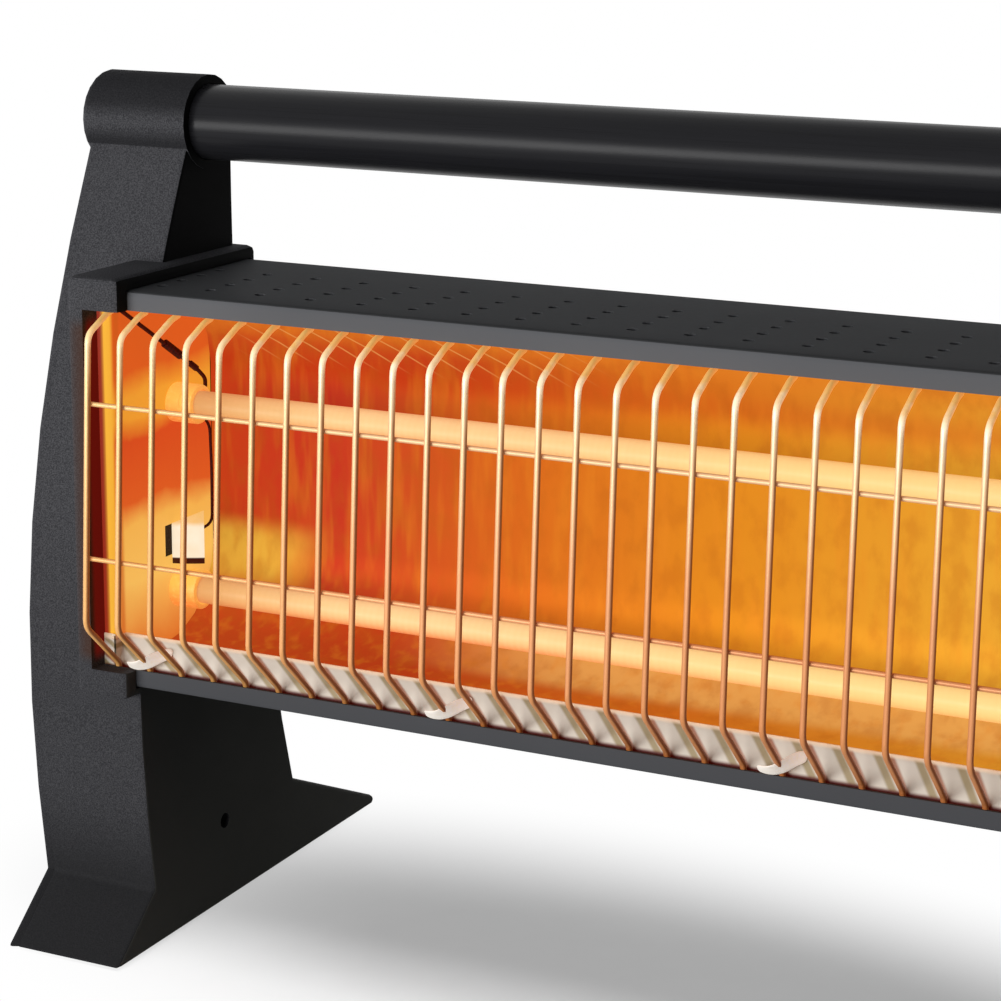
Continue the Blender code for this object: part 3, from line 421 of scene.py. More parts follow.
def trough_glow(x, z, blotch, streak):
    length = along(x + 0.03 * (blotch - 0.5), GLOW_LEFT, GLOW_RIGHT)
    wall = ramp(length, (0, tint(216, 74, 30)), (0.16, tint(204, 58, 36)), (0.42, tint(221, 110, 32)),
                (0.66, tint(231, 144, 34)), (1, tint(239, 174, 54)))
    curve = ramp(length, (0, tint(212, 84, 32)), (0.3, tint(202, 68, 28)), (0.62, tint(222, 118, 32)),
                 (1, tint(236, 164, 50)))
    turned = step(z, *TOP_CURVE) + step(z, *LOW_CURVE)
    colour = mix(turned, wall, curve)
    end = step(x + 0.05 * (blotch - 0.5), *PALE_END)
    colour = mix(end * between(z, *PALE_PATCH, 0.005), colour, tint(243, 186, 68))
    right = step(x, *TO_THE_RIGHT)
    colour = mix((0.8 - 0.45 * right) * between(z, *RED_BAND, 0.005), colour, tint(204, 62, 22))
    colour = mix(0.6 * step(z, *LIGHT_TOP), colour, tint(240, 142, 44))
    colour = mix(0.85 * right * between(z, *PALE_BAND, 0.0015), colour, tint(246, 182, 96))
    colour = mix(0.4 * (1 - right) * step(z, *RED_FLOOR), colour, tint(190, 70, 26))
    return mix(0.35 * step(streak, 0.45, 0.75), colour, tint(236, 142, 40))


print("trough glows from", round(GLOW_LEFT, 3), "to", round(GLOW_RIGHT, 3))

# %% [markdown]
# The wires of the guard show in the sheet too. A true mirror would show them only after very many
# samples, so they are drawn into its colour as painted reflections. Under the top lip those on the left
# leave a thin bright arc, and the pale strip at the bottom carries an olive and a brown band beside every
# wire, painted shadows and reflections of the wires. Both repeat at the wire pitch, so the fraction of a
# slanted distance along x finds them.

# %% Marks of the wires on the sheet
WIRE_COUNT, WIRE_PITCH = 30, 13.3
GUARD_HALF = (WIRE_COUNT - 1) * WIRE_PITCH / 2
FIRST_WIRE = at_x(-GUARD_HALF)
ARC_HEIGHTS, ARC_START, ARC_SLANT = (0.214, 0.227), 0.232, 2.0
STRIP_FOOT, STRIP_SHIFT, STRIP_SLANT, STRIP_FAN = 0.1083, 0.0008, 0.93, 2.75
STRIP_ROLL, STRIP_DARK = (0.1178, 0.1192), (0.1098, 0.1084)


def wire_share(distance):
    """0 at a wire, rising to 1 at the next one, for a distance along x from the first wire."""
    return distance.sum("FRACT", distance * (1 / (WIRE_PITCH * MM)))


def top_arcs(x, z):
    share = wire_share(x - FIRST_WIRE + ARC_SLANT * (z - ARC_START))
    left = step(x, at_x(-25), at_x(-70)) * step(x, at_x(-186), at_x(-165))
    return between(share, 0.06, 0.14, 0.03) * between(z, *ARC_HEIGHTS, 0.004) * left


def strip_look(x, z, blotch):
    """The pale strip with painted shadows and reflections of the wires, a painted highlight on its roll and
    painted shade at its foot.
    """
    slant = STRIP_SLANT - STRIP_FAN * (x - MIDDLE_X)
    share = wire_share(x - FIRST_WIRE + STRIP_SHIFT + slant * (z - STRIP_FOOT))
    pale = mix(blotch, tint(196, 189, 174), tint(222, 216, 204))
    pale = mix(0.85 * between(share, 0.68, 0.9, 0.06), pale, tint(146, 128, 84))
    pale = mix(0.85 * between(share, 0.04, 0.2, 0.05), pale, tint(150, 80, 40))
    # Painted highlight along the roll at the strip's top, and painted shade at its foot beside the lip.
    pale = mix(step(z, *STRIP_ROLL), pale, tint(250, 226, 196))
    return mix(step(z, *STRIP_DARK), pale, tint(104, 28, 20))


print("first wire at", round(FIRST_WIRE, 4))

# %% [markdown]
# Now the reflector's finish itself: the arcs are laid over the glow, and both feed the base colour and,
# darkened, the light that the sheet gives off. Only its inside is lit, so that the holes in the housing's
# top stay dark. The bright strip is lit by the room instead and gives off almost nothing.

# %% Lit reflector
TROUGH_MIDDLE = at(0, 36, 175)


def faces_trough(tone, y, z):
    """1 on the inside of the trough and 0 on its back."""
    facing = facing_of(tone)
    return step(facing[1] * (TROUGH_MIDDLE.y - y) + facing[2] * (TROUGH_MIDDLE.z - z), -0.002, 0.002)


def lit_reflector():
    made, shader, point = new_finish("lit_reflector", Emission_Strength=1.0, Specular_IOR_Level=0.0)
    x, y, z = parts_of(point)
    blotch = noise(point, 24, detail=3)
    streak = noise(stretched(point, 60, 60, 9), 3)
    mottle = noise(stretched(point, 1, 1, 0.6), 130, detail=4)
    colour = trough_glow(x, z, blotch, streak)
    colour = mix(0.3 * step(mottle, 0.42, 0.7), colour, tint(190, 98, 26))
    colour = mix(0.5 * top_arcs(x, z), colour, tint(252, 190, 108))
    turned_in = faces_trough(point, y, z)
    mix(turned_in, tint(58, 58, 60), mix(0.72, colour, BLACK)).into(shader, "Base Color")
    mix(turned_in, BLACK, mix(0.36, colour, BLACK)).into(shader, "Emission Color")
    (0.28 + 0.12 * blotch).into(shader, "Roughness")
    (0.12 + 0.1 * blotch).into(shader, "Metallic")
    bump(streak, 0.06, 0.4 * MM, shader)
    return made


def bright_strip():
    made, shader, point = new_finish("bright_strip", Emission_Strength=0.04, Specular_IOR_Level=0.2)
    x, _, z = parts_of(point)
    blotch = noise(point, 70, detail=3)
    pale = strip_look(x, z, blotch)
    pale.into(shader, "Base Color", "Emission Color")
    (0.3 + 0.15 * blotch).into(shader, "Roughness")
    return made


REFLECTOR, STRIP = lit_reflector(), bright_strip()
tell(REFLECTOR, STRIP)

# %% [markdown]
# The end plates close the trough. Their painted glow changes with height, which one ramp can give: yellow
# beside the caps, orange between them and pale yellow over the lower one. The rolled front edge carries a
# bright painted highlight, with a darker painted dip behind it and painted dark red shade at its very front.

# %% Lit end plate
PLATE_LOW, PLATE_HIGH = 0.108, 0.242
EDGE_DIP = (at_y(6.6), at_y(9.5))
ROLLED_EDGE, EDGE_FRONT = (at_y(6.4), at_y(4.4)), (at_y(3.0), at_y(2.4))


def lit_end_plate():
    made, shader, point = new_finish("lit_end_plate", Emission_Strength=1.0, Specular_IOR_Level=0.1)
    _, y, z = parts_of(point)
    blotch = noise(point, 60, detail=3)
    colour = ramp(along(z + 0.008 * (blotch - 0.5), PLATE_LOW, PLATE_HIGH),
                  (0, tint(222, 112, 38)), (0.21, tint(246, 198, 98)), (0.36, tint(244, 188, 86)),
                  (0.43, tint(222, 98, 38)), (0.6, tint(216, 82, 34)), (0.66, tint(238, 164, 52)),
                  (0.72, tint(238, 164, 52)), (0.79, tint(221, 98, 34)))
    # Painted shade in the dip, a painted highlight on the rolled edge and painted shade at its front.
    colour = mix(0.7 * between(y, *EDGE_DIP, 1.2 * MM), colour, tint(206, 96, 30))
    colour = mix(step(y, *ROLLED_EDGE), colour, tint(247, 184, 62))
    colour = mix(step(y, *EDGE_FRONT), colour, tint(150, 40, 16))
    mix(0.6, colour, BLACK).into(shader, "Base Color")
    mix(0.22, colour, BLACK).into(shader, "Emission Color")
    (0.26 + 0.14 * blotch).into(shader, "Roughness")
    return made


END_PLATE = lit_end_plate()
tell(END_PLATE)

# %% [markdown]
# ## Warm wire
# The guard is chromed wire, with the glow of the trough behind it painted into its colour: cream at the top
# bends, peach down the front and brown in the painted shade where it turns under. The left wires are painted
# yellower and the lower front on the right duller. The key light from the left gives each wire its bright
# side, and painted shade darkens its other side, so only a little glow is added, and more of it at the top
# bends, which the lip shades.

# %% Warm wire
WIRE_LOW, WIRE_HIGH = 0.106, 0.240
DIMMER_FRONT, SIDE_SHADE_HEIGHTS, LIT_BENDS = (0.205, 0.165), (0.226, 0.205), (0.225, 0.232)


def warm_wire():
    made, shader, point = new_finish("warm_wire", Emission_Strength=0.5, Metallic=0.15,
                                     Specular_IOR_Level=0.3)
    x, _, z = parts_of(point)
    mottle = noise(point, 160)
    glow_tint = ramp(along(z + 0.01 * (mottle - 0.5), WIRE_LOW, WIRE_HIGH),
                (0, tint(150, 84, 36)), (0.1, tint(224, 146, 80)), (0.2, tint(238, 162, 104)),
                (0.5, tint(244, 176, 124)), (0.8, tint(250, 206, 156)), (0.93, tint(255, 234, 200)),
                (0.97, tint(246, 186, 104)))
    # Painted glow: yellower on the left wires and duller low on the front at the right.
    left = step(x, at_x(-60), at_x(-190))
    colour = mix(0.45 * left, glow_tint, tint(255, 206, 122))
    low_right = step(x, at_x(-60), at_x(60)) * step(z, *DIMMER_FRONT)
    colour = mix(0.45 * low_right, colour, tint(200, 122, 70))
    # Painted shade on the side of each wire that faces right, below the top bends.
    shaded_side = step(facing_of(point)[0], 0.45, 0.9) * step(z, *SIDE_SHADE_HEIGHTS)
    colour = mix(0.75 * shaded_side, colour, tint(122, 58, 26))
    mix(0.08, colour, BLACK).into(shader, "Base Color")
    mix(0.86 - 0.7 * step(z, *LIT_BENDS), colour, BLACK).into(shader, "Emission Color")
    (0.3 + 0.14 * mottle).into(shader, "Roughness")
    bump(mottle, 0.1, 0.1 * MM, shader)
    return made


WIRE = warm_wire()
tell(WIRE)

# %% [markdown]
# ## Lit quartz and its coil
# A quartz heating tube is milky, so the coil inside shows only as a faint ripple of brighter turns. Clear
# glass over a bright coil would be truer to a cold lamp, but lit it reads as one soft bar of light. A
# sine along x gives the turns. The lower side is painted more orange, a painted reflection of the hot
# trough, and the upper side has a pale painted highlight. Along the tube the light goes from dim at the
# left end to a little yellow on the right.

# %% Lit quartz and coil
COIL_PITCH = 2.6


def lit_quartz():
    made, shader, point = new_finish("lit_quartz", Emission_Strength=0.6, Specular_IOR_Level=0.15)
    x = parts_of(point)[0]
    facing = facing_of(point)[2]
    milk_and_highlight = noise(point, 90)
    turns = 0.5 + 0.5 * x.sum("SINE", x * (math.tau / (COIL_PITCH * MM)))
    # Painted reflection of the trough on the lower side and a painted highlight on the upper side.
    colour = mix(step(facing, -1.0, 0.1), tint(218, 142, 84), tint(214, 184, 128))
    colour = mix(0.05 * turns + 0.25 * step(facing, 0.2, 0.9) * milk_and_highlight, colour, tint(236, 212, 172))
    colour = mix(0.75 * step(x, at_x(-110), at_x(-185)), colour, tint(188, 140, 84))
    colour = mix(0.6 * step(x, at_x(-90), at_x(80)), colour, tint(220, 200, 128))
    colour.into(shader, "Base Color", "Emission Color")
    (0.3 + 0.12 * milk_and_highlight).into(shader, "Roughness")
    return made


def glowing_coil():
    made, shader, point = new_finish("glowing_coil", Emission_Strength=1.0)
    glow_tint = noise(point, 240)
    colour = mix(glow_tint, tint(255, 164, 72), tint(255, 206, 128))
    mix(0.7, colour, BLACK).into(shader, "Base Color")
    colour.into(shader, "Emission Color")
    (0.4 + 0.2 * glow_tint).into(shader, "Roughness")
    return made


QUARTZ, COIL = lit_quartz(), glowing_coil()
tell(QUARTZ, COIL)

# %% [markdown]
# ## Ceramic, leads and strap
# The tube caps are pressed steatite with a fine speckle and a dull glaze. The glow on them is painted into
# their colour and given off, yellow on top with painted shade on their lower side, and a little paler higher
# up. The leads wear a dark red braided sleeve. Its strands are too fine to model, so two crossed waves make
# the braid.
# The straps are tongues of bright white-coated sheet with a little painted glow, and the tabs of the
# windows are pale sheet that catches the glow, which is painted into their colour and given off.

# %% Ceramic and leads
BRAID_WAVES = 2600
CAP_HEIGHTS = (0.11, 0.21)


def steatite():
    made, shader, point = new_finish("steatite", Emission_Strength=0.55, Specular_IOR_Level=0.5)
    z = parts_of(point)[2]
    speckle = noise(point, 700)
    rise = step(z - 0.012 * speckle, *CAP_HEIGHTS)
    facing = facing_of(point)[2]
    # Painted glow, yellow on the upper side, and painted shade on the lower side.
    colour = mix(step(facing, -0.7, 0.5), tint(226, 146, 66), tint(240, 192, 90))
    colour = mix(0.3 * step(speckle, 0.5, 0.7) + 0.1 * rise, colour, tint(246, 206, 120))
    colour.into(shader, "Base Color", "Emission Color")
    (0.36 + 0.2 * speckle).into(shader, "Roughness")
    bump(speckle, 0.2, 0.1 * MM, shader)
    return made


def braided_lead():
    made, shader, point = new_finish("braided_lead", Specular_IOR_Level=0.2)
    x, y, z = parts_of(point)
    one = x.sum("SINE", BRAID_WAVES * (x + y + z))
    other = x.sum("SINE", BRAID_WAVES * (x + y - z))
    braid = 0.5 + 0.25 * (one + other)
    mix(braid, tint(40, 9, 8), tint(88, 22, 15)).into(shader, "Base Color")
    (0.55 + 0.2 * braid).into(shader, "Roughness")
    bump(braid, 0.4, 0.15 * MM, shader)
    return made


CERAMIC, LEAD = steatite(), braided_lead()
tell(CERAMIC, LEAD)

# %% Straps and tabs
TAB_TOP, TAB_SHADE_BAND = (0.1505, 0.153), (0.1394, 0.1388)


def white_strap():
    made, shader, point = new_finish("strap_coating", Emission_Strength=0.3, Specular_IOR_Level=0.3)
    scratch = noise(stretched(point, 20, 400, 400), 3)
    colour = mix(scratch, tint(224, 212, 198), tint(250, 244, 236))
    # A little painted glow keeps the white coating bright.
    colour.into(shader, "Base Color", "Emission Color")
    (0.3 + 0.2 * scratch).into(shader, "Roughness")
    return made


def bright_tab():
    made, shader, point = new_finish("bright_tab", Emission_Strength=0.9, Specular_IOR_Level=0.2)
    z = parts_of(point)[2]
    cloud = noise(point, 150)
    # Painted glow: the top takes the plate's glow colour, and painted shade darkens the lower edge.
    colour = mix(0.4 * cloud + 0.6 * step(z, *TAB_TOP), tint(255, 247, 226), tint(240, 180, 80))
    colour = mix(step(z, *TAB_SHADE_BAND), colour, tint(58, 16, 9))
    mix(0.8, colour, BLACK).into(shader, "Base Color")
    colour.into(shader, "Emission Color")
    (0.3 + 0.1 * cloud).into(shader, "Roughness")
    return made


STRAP, TAB = white_strap(), bright_tab()
tell(STRAP, TAB)

# %% [markdown]
# ## Small mouldings and turned steel
# The knob, switch bodies, terminal block, plunger, pads and gland are all mouldings that differ in
# colour, gloss and grain, so one function makes their finishes. Turned steel, for the shaft and the
# screws, gets fine rings: noise that is squeezed along the axis and stretched across it.

# %% Small mouldings and turned steel
def small_moulding(name, dark, light, grain_size, rough, gloss):
    made, shader, point = new_finish(name, Specular_IOR_Level=gloss)
    grain = noise(point, grain_size, detail=3)
    cloud = noise(point, 80)
    mix(0.5 * cloud + 0.5 * step(grain, 0.3, 0.7), dark, light).into(shader, "Base Color")
    (rough + 0.12 * grain).into(shader, "Roughness")
    bump(grain, 0.25, 0.1 * MM, shader)
    return made


def turned_steel():
    made, shader, point = new_finish("turned_steel", Metallic=1.0)
    rings = noise(stretched(point, 3000, 40, 40), 1)
    mix(rings, tint(140, 141, 144), tint(196, 196, 198)).into(shader, "Base Color")
    (0.24 + 0.16 * rings).into(shader, "Roughness")
    bump(rings, 0.08, 0.05 * MM, shader)
    return made


RUBBER = small_moulding("soft_rubber", tint(20, 20, 21), tint(36, 36, 37), 1400, 0.7, 0.1)
SWITCH = small_moulding("switch_moulding", tint(72, 72, 76), tint(96, 96, 100), 1100, 0.5, 0.2)
WHITE = small_moulding("white_moulding", tint(204, 203, 197), tint(226, 225, 219), 900, 0.45, 0.3)
KNOB = small_moulding("knob_moulding", tint(28, 28, 30), tint(42, 42, 45), 1800, 0.32, 0.25)
MARK = small_moulding("mark_paint", tint(206, 206, 202), tint(232, 232, 228), 700, 0.5, 0.2)
STEEL = turned_steel()
tell(RUBBER, SWITCH, WHITE, KNOB, MARK, STEEL)

# %% [markdown]
# ## Soft-edged copies
# A moulding or a folded sheet never has a knife edge. A copy of the frame's mesh gets small rounds there
# from a Bevel modifier, whose width each edge can scale by its own weight, and weighted normals keep the
# flat faces flat. A copy is used because the frame's own meshes stay as they are.

# %% Meshes and pieces
def baked(made):
    """The mesh of an object with its modifiers applied."""
    bpy.context.view_layer.update()
    return bpy.data.meshes.new_from_object(made.evaluated_get(bpy.context.evaluated_depsgraph_get()))


def new_piece(name, data):
    made = bpy.data.objects.new(name, data)
    scene.collection.objects.link(made)
    return made


def mesh_of(name, shape):
    """A mesh from a bmesh shape, which is let go."""
    data = bpy.data.meshes.new(name)
    shape.to_mesh(data)
    shape.free()
    return data


def smoothed(data, angle=40):
    data.shade_smooth()
    data.set_sharp_from_angle(angle=math.radians(angle))
    return data


print("the frame's", len(nodes), "meshes stay untouched")

# %% Copying with soft edges
SAME_PLACE, SAME_PLANE = 0.01 * MM, math.radians(0.6)
SHARP_ANGLE = 38


def weigh_edges(shape, weigh):
    """Give every sharp edge its bevel weight."""
    layer = shape.edges.layers.float.new("bevel_weight_edge")
    for edge in shape.edges:
        if len(edge.link_faces) == 2 and edge.calc_face_angle(0) > math.radians(SHARP_ANGLE):
            edge[layer] = weigh(edge) if weigh else 1


def soft_copy(node, width=0.0, weigh=None):
    data = nodes[node].data.copy()
    shape = bmesh.new()
    shape.from_mesh(data)
    bmesh.ops.remove_doubles(shape, verts=shape.verts, dist=SAME_PLACE)
    if width:
        bmesh.ops.dissolve_limit(shape, angle_limit=SAME_PLANE, verts=shape.verts, edges=shape.edges)
        weigh_edges(shape, weigh)
    shape.to_mesh(data)
    shape.free()
    made = new_piece(node + "_skin", data)
    if width:
        edge = made.modifiers.new("soft_edges", "BEVEL")
        edge.width = width * MM
        edge.segments = 2
        edge.limit_method = "WEIGHT"
        edge.miter_outer = "MITER_ARC"
        made.data = baked(made)
        made.modifiers.clear()
    if made.data.has_custom_normals:
        made.data.attributes.remove(made.data.attributes["custom_normal"])
    smoothed(made.data, SHARP_ANGLE)
    flat = made.modifiers.new("flat_faces", "WEIGHTED_NORMAL")
    flat.keep_sharp = True
    return made


print("points within", SAME_PLACE, "m become one")

# %% Finish and body
def add(made, finish, body):
    """Give a piece its finish and the body it moves with."""
    made.data.materials.clear()
    made.data.materials.append(finish)
    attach(made, body)
    print(made.name, "has", len(made.data.polygons), "faces and rides on", body)
    return made


def dress(made, finish, *stands_for):
    add(made, finish, body_of[stands_for[0]])
    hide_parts(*stands_for)
    return made


# %% [markdown]
# ## End legs and side covers
# Each end is one moulding with foot, leg, collar, arm and socket head, closed on the outside by a flat
# cover. The edges that a hand meets are rounded. The two edges that meet at the cover's seam stay sharp,
# and the cover's rim reaches over the round of the leg's edge, so that the seam is a hairline and not a
# trench.

# %% End legs and side covers
SEAM_X = (230.6, 228.2)
COVER_REACH = 228.45
LEG_ROUND, COVER_ROUND = 0.7, 0.4


def off_the_seam(edge):
    """1 for an edge, but 0 where both its ends lie at the cover's seam."""
    places = [abs(vert.co.x - MIDDLE_X) / MM for vert in edge.verts]
    return 0 if all(SEAM_X[1] < place < SEAM_X[0] for place in places) else 1


def over_the_edge(data):
    """Let a cover's rim reach over the round of the leg's edge."""
    for vert in data.vertices:
        away = vert.co.x - MIDDLE_X
        if abs(away) < SEAM_X[0] * MM:
            vert.co.x = MIDDLE_X + math.copysign(COVER_REACH * MM, away)


for hand in ("left", "right"):
    dress(soft_copy(hand + "_leg", LEG_ROUND, off_the_seam), CHARCOAL, hand + "_leg")
    cover = dress(soft_copy(hand + "_side_cover", COVER_ROUND, off_the_seam), CHARCOAL, hand + "_side_cover")
    over_the_edge(cover.data)

# %% [markdown]
# ## Housing, bar and reflector
# These are sheet and tube, already with their folds and slots in the frame. Bevelling the perforated top
# would only blur its holes, so the copies are smoothed and nothing is added. The reflector also goes
# without the weighted normals, so that its wall and its curves read as one sweep.

# %% Housing, bar and reflector
for node, finish in (("housing_shell", ENAMEL), ("handle_bar", SATIN), ("reflector", REFLECTOR),
                     ("left_reflector_end", END_PLATE), ("right_reflector_end", END_PLATE)):
    made = dress(soft_copy(node), finish, node)
    if node == "reflector":
        made.modifiers.clear()

# %% [markdown]
# ## Wire guard
# Thirty wires stand in front of the trough. Each hangs behind the top lip, bends out under it, runs
# straight down the front, slants in at the bottom and drops into the slot behind the bottom lip. Two
# cross rods are welded behind the wires and a third is hidden in the slot. A run of points with rounded
# corners is swept by a curve's bevel, which is how a wire former bends one: straight, bend, straight.

# %% Sweeping round wires
MOST_OF_A_SIDE, BEND_STEPS = 0.45, 4
ROUND_ANGLE = 60


def wires(name, runs, radius, resolution=3, taper=None):
    """A mesh of round wires along runs of points, with closed ends; taper scales each run's last radius."""
    curve = bpy.data.curves.new(name, "CURVE")
    curve.dimensions = "3D"
    curve.bevel_depth = radius * MM
    curve.bevel_resolution = resolution
    curve.use_fill_caps = True
    for run in runs:
        line = curve.splines.new("POLY")
        line.points.add(len(run) - 1)
        for point, place in zip(line.points, run):
            point.co = (*place, 1)
        if taper:
            line.points[-1].radius = taper
    holder = new_piece(name, curve)
    data = baked(holder)
    bpy.data.objects.remove(holder)
    return data


def join(first, *others):
    shape = bmesh.new()
    for data in (first, *others):
        shape.from_mesh(data)
    shape.to_mesh(first)
    shape.free()
    return first


def bent(corners, radius):
    """A run through corners, with each inner corner rounded."""
    run = [Vector(corners[0])]
    for before, corner, after in zip(corners, corners[1:], corners[2:]):
        here = Vector(corner)
        back = Vector(before) - here
        ahead = Vector(after) - here
        reach = min(radius, MOST_OF_A_SIDE * min(back.length, ahead.length))
        start = here + back.normalized() * reach
        end = here + ahead.normalized() * reach
        for i in range(BEND_STEPS + 1):
            t = i / BEND_STEPS
            run.append((1 - t) ** 2 * start + 2 * t * (1 - t) * here + t ** 2 * end)
    run.append(Vector(corners[-1]))
    return run


square = bent([(0, 0), (10, 0), (10, 10)], 2)
print("a bent run of three corners has", len(square), "points")

# %% Wire guard
WIRE_RADIUS, ROD_RADIUS, WELD_BITE = 1.1, 0.85, 0.25
WIRE_BEND, TAIL_SHARE = 3.2, 0.8
TOP_BEND, LOW_BEND = (-11.8, 231.6), (-17.6, 128.4)
WIRE_PATH = ((4, 238.05), (0, 237.2), TOP_BEND, LOW_BEND, (1.5, 110.5), (2.05, 106.4))
ROD_HEIGHTS = (207.2, 152.6)
SLOT_ROD = (2.0, 105.4)


def front_depth(height):
    """How far in front of the lips a wire runs at a height."""
    share = (TOP_BEND[1] - height) / (TOP_BEND[1] - LOW_BEND[1])
    return TOP_BEND[0] + share * (LOW_BEND[0] - TOP_BEND[0])


def wire_guard():
    columns = [i * WIRE_PITCH - GUARD_HALF for i in range(WIRE_COUNT)]
    path = bent(WIRE_PATH, WIRE_BEND)
    runs = [[at(x, y, z) for y, z in path] for x in columns]
    upright = wires("guard_wires", runs, WIRE_RADIUS, taper=TAIL_SHARE)
    behind = WIRE_RADIUS + ROD_RADIUS - WELD_BITE
    half = GUARD_HALF + WIRE_RADIUS
    lines = [(front_depth(height) + behind, height) for height in ROD_HEIGHTS] + [SLOT_ROD]
    rods = [[at(-half, y, z), at(0, y, z), at(half, y, z)] for y, z in lines]
    return smoothed(join(upright, wires("guard_rods", rods, ROD_RADIUS)), ROUND_ANGLE)


dress(new_piece("guard", wire_guard()), WIRE, "wire_guard")

# %% [markdown]
# ## Tubes, coils and caps
# The tubes and caps are turned shapes, so one lathe makes them: a profile of distances and radii goes round
# a line. Blender's Spin would do it too, but it can number its points differently each time, so the rings
# are laid one by one. The tubes are hollow with softened rims. The caps have a rounded back, a groove and
# a counterbore that the tube sits in. The coil is a helix of points given to the wire sweeper.

# %% Lathe
def ring_of(shape, distance, radius, sides):
    """The places of a profile point as it turns; on the line itself they are all one point."""
    if radius == 0:
        return [shape.verts.new((distance * MM, 0, 0))] * sides
    turns = [math.tau * i / sides for i in range(sides)]
    return [shape.verts.new((distance * MM, radius * MM * math.cos(turn), radius * MM * math.sin(turn)))
            for turn in turns]


def lathe(name, profile, start, direction=(1, 0, 0), sides=48):
    """A shape turned round a line: profile pairs are the distance along it and the radius, in millimetres."""
    shape = bmesh.new()
    rings = {place: ring_of(shape, *place, sides) for place in dict.fromkeys(profile)}
    for near, far in zip(profile, profile[1:]):
        for i in range(sides):
            corners = [rings[near][i - 1], rings[near][i], rings[far][i], rings[far][i - 1]]
            shape.faces.new(list(dict.fromkeys(corners)))
    bmesh.ops.recalc_face_normals(shape, faces=shape.faces)
    turn = Vector((1, 0, 0)).rotation_difference(Vector(direction)).to_matrix().to_4x4()
    bmesh.ops.transform(shape, matrix=Matrix.Translation(start) @ turn, verts=shape.verts)
    return smoothed(mesh_of(name, shape))


def middle_of(node):
    low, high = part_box(node)
    return (low + high) / 2, (high - low) / MM


print("lathe ready; upper tube is", [round(x, 1) for x in middle_of("upper_quartz_tube")[1]], "mm")

# %% Tubes and coils
COIL_RADIUS, COIL_WIRE, COIL_STEPS, COIL_ANGLE = 2.9, 0.42, 12, 80
QUARTZ_WALL, QUARTZ_RIM = 1.2, 0.4


def quartz_tube(node):
    middle, size = middle_of(node)
    length, outer = size.x, size.z / 2
    inner, rim = outer - QUARTZ_WALL, QUARTZ_RIM
    profile = [(0, inner), (0, outer - rim), (rim, outer), (length - rim, outer), (length, outer - rim),
               (length, inner), (0, inner)]
    return lathe(node, profile, middle - Vector((length / 2 * MM, 0, 0)))


def wound_coil(node):
    middle, size = middle_of(node)
    turns = int(size.x / COIL_PITCH) - 1
    start = middle.x - (turns * COIL_PITCH / 2) * MM
    reach = COIL_RADIUS * MM
    run = []
    for i in range(turns * COIL_STEPS + 1):
        turn = math.tau * i / COIL_STEPS
        run.append(Vector((start + COIL_PITCH * MM * i / COIL_STEPS,
                           middle.y + reach * math.cos(turn), middle.z + reach * math.sin(turn))))
    return smoothed(wires(node, [run], COIL_WIRE, resolution=1), COIL_ANGLE)


for height in ("upper", "lower"):
    tube, coil = height + "_quartz_tube", height + "_heating_coil"
    dress(new_piece(height + "_tube", quartz_tube(tube)), QUARTZ, tube)
    dress(new_piece(height + "_coil", wound_coil(coil)), COIL, coil)

# %% Ceramic caps
HANDS = (("left", -1), ("right", 1))
CAP_ROUND, CAP_BORE = 3.2, 5.15


def ceramic_cap(node, side):
    """A cap with its rounded back outwards and the counterbore for the tube inwards."""
    middle, size = middle_of(node)
    length, outer = size.x, size.z / 2
    back = [(CAP_ROUND - CAP_ROUND * math.cos(turn), outer - CAP_ROUND + CAP_ROUND * math.sin(turn))
            for turn in (math.radians(15 * i) for i in range(7))]
    groove = [(length - 5.2, outer), (length - 4.8, outer - 0.5), (length - 4.2, outer - 0.5),
              (length - 3.8, outer)]
    rim = [(length - 0.8, outer), (length - 0.2, outer - 0.25), (length, outer - 0.8)]
    bore = [(length, CAP_BORE + 0.4), (length - 0.4, CAP_BORE), (length - 7, CAP_BORE), (length - 7, 0)]
    profile = [(0, 0), *back, *groove, *rim, *bore]
    return lathe(node, profile, middle + Vector((side * length / 2 * MM, 0, 0)), (-side, 0, 0))


for hand, side in HANDS:
    for height in ("upper", "lower"):
        name = f"{hand}_{height}_ceramic_cap"
        dress(new_piece(name + "_turned", ceramic_cap(name, side)), CERAMIC, name)

# %% [markdown]
# ## Leads
# A feed lead comes from the top corner of the trough to the back of the upper cap, with two crimp sleeves
# on it. A jumper drops from the upper cap and goes out through the window to the lower one. A lead bends
# as a wire does, so the same sweeper draws them, with short fatter runs for the sleeves. Only the left
# pair is seen from the front; the right pair mirrors it.

# %% Leads
FEED_PATH = ((193.0, 5.0, 239.0), (190.6, 24, 226), (186.6, 36.4, 216), (184.6, 43.4, 210.4),
             (184.0, 47.6, 206.4), (185.2, 49.4, 202.9))
SLEEVES = (((189.2, 29.6, 221.9), (186.8, 36.0, 216.5), 1.6),
           ((185.5, 40.2, 213.0), (184.7, 43.0, 210.7), 1.2))
JUMPER_PATH = ((188.2, 50.6, 191.6), (188.0, 56.2, 187.0), (188.0, 57.0, 170), (188.2, 57.0, 149),
               (194.4, 54.6, 145.6), (197.3, 51, 139), (197.3, 47.5, 132.5))
FEED_RADIUS, JUMPER_RADIUS = 0.75, 0.55
FEED_BEND, JUMPER_BEND = 4, 5
SLEEVE_SPOTS, LEAD_ANGLE = (0, 0.12, 0.5, 0.88, 1), 50


def mirrored(points, side):
    return [at(side * x, y, z) for x, y, z in points]


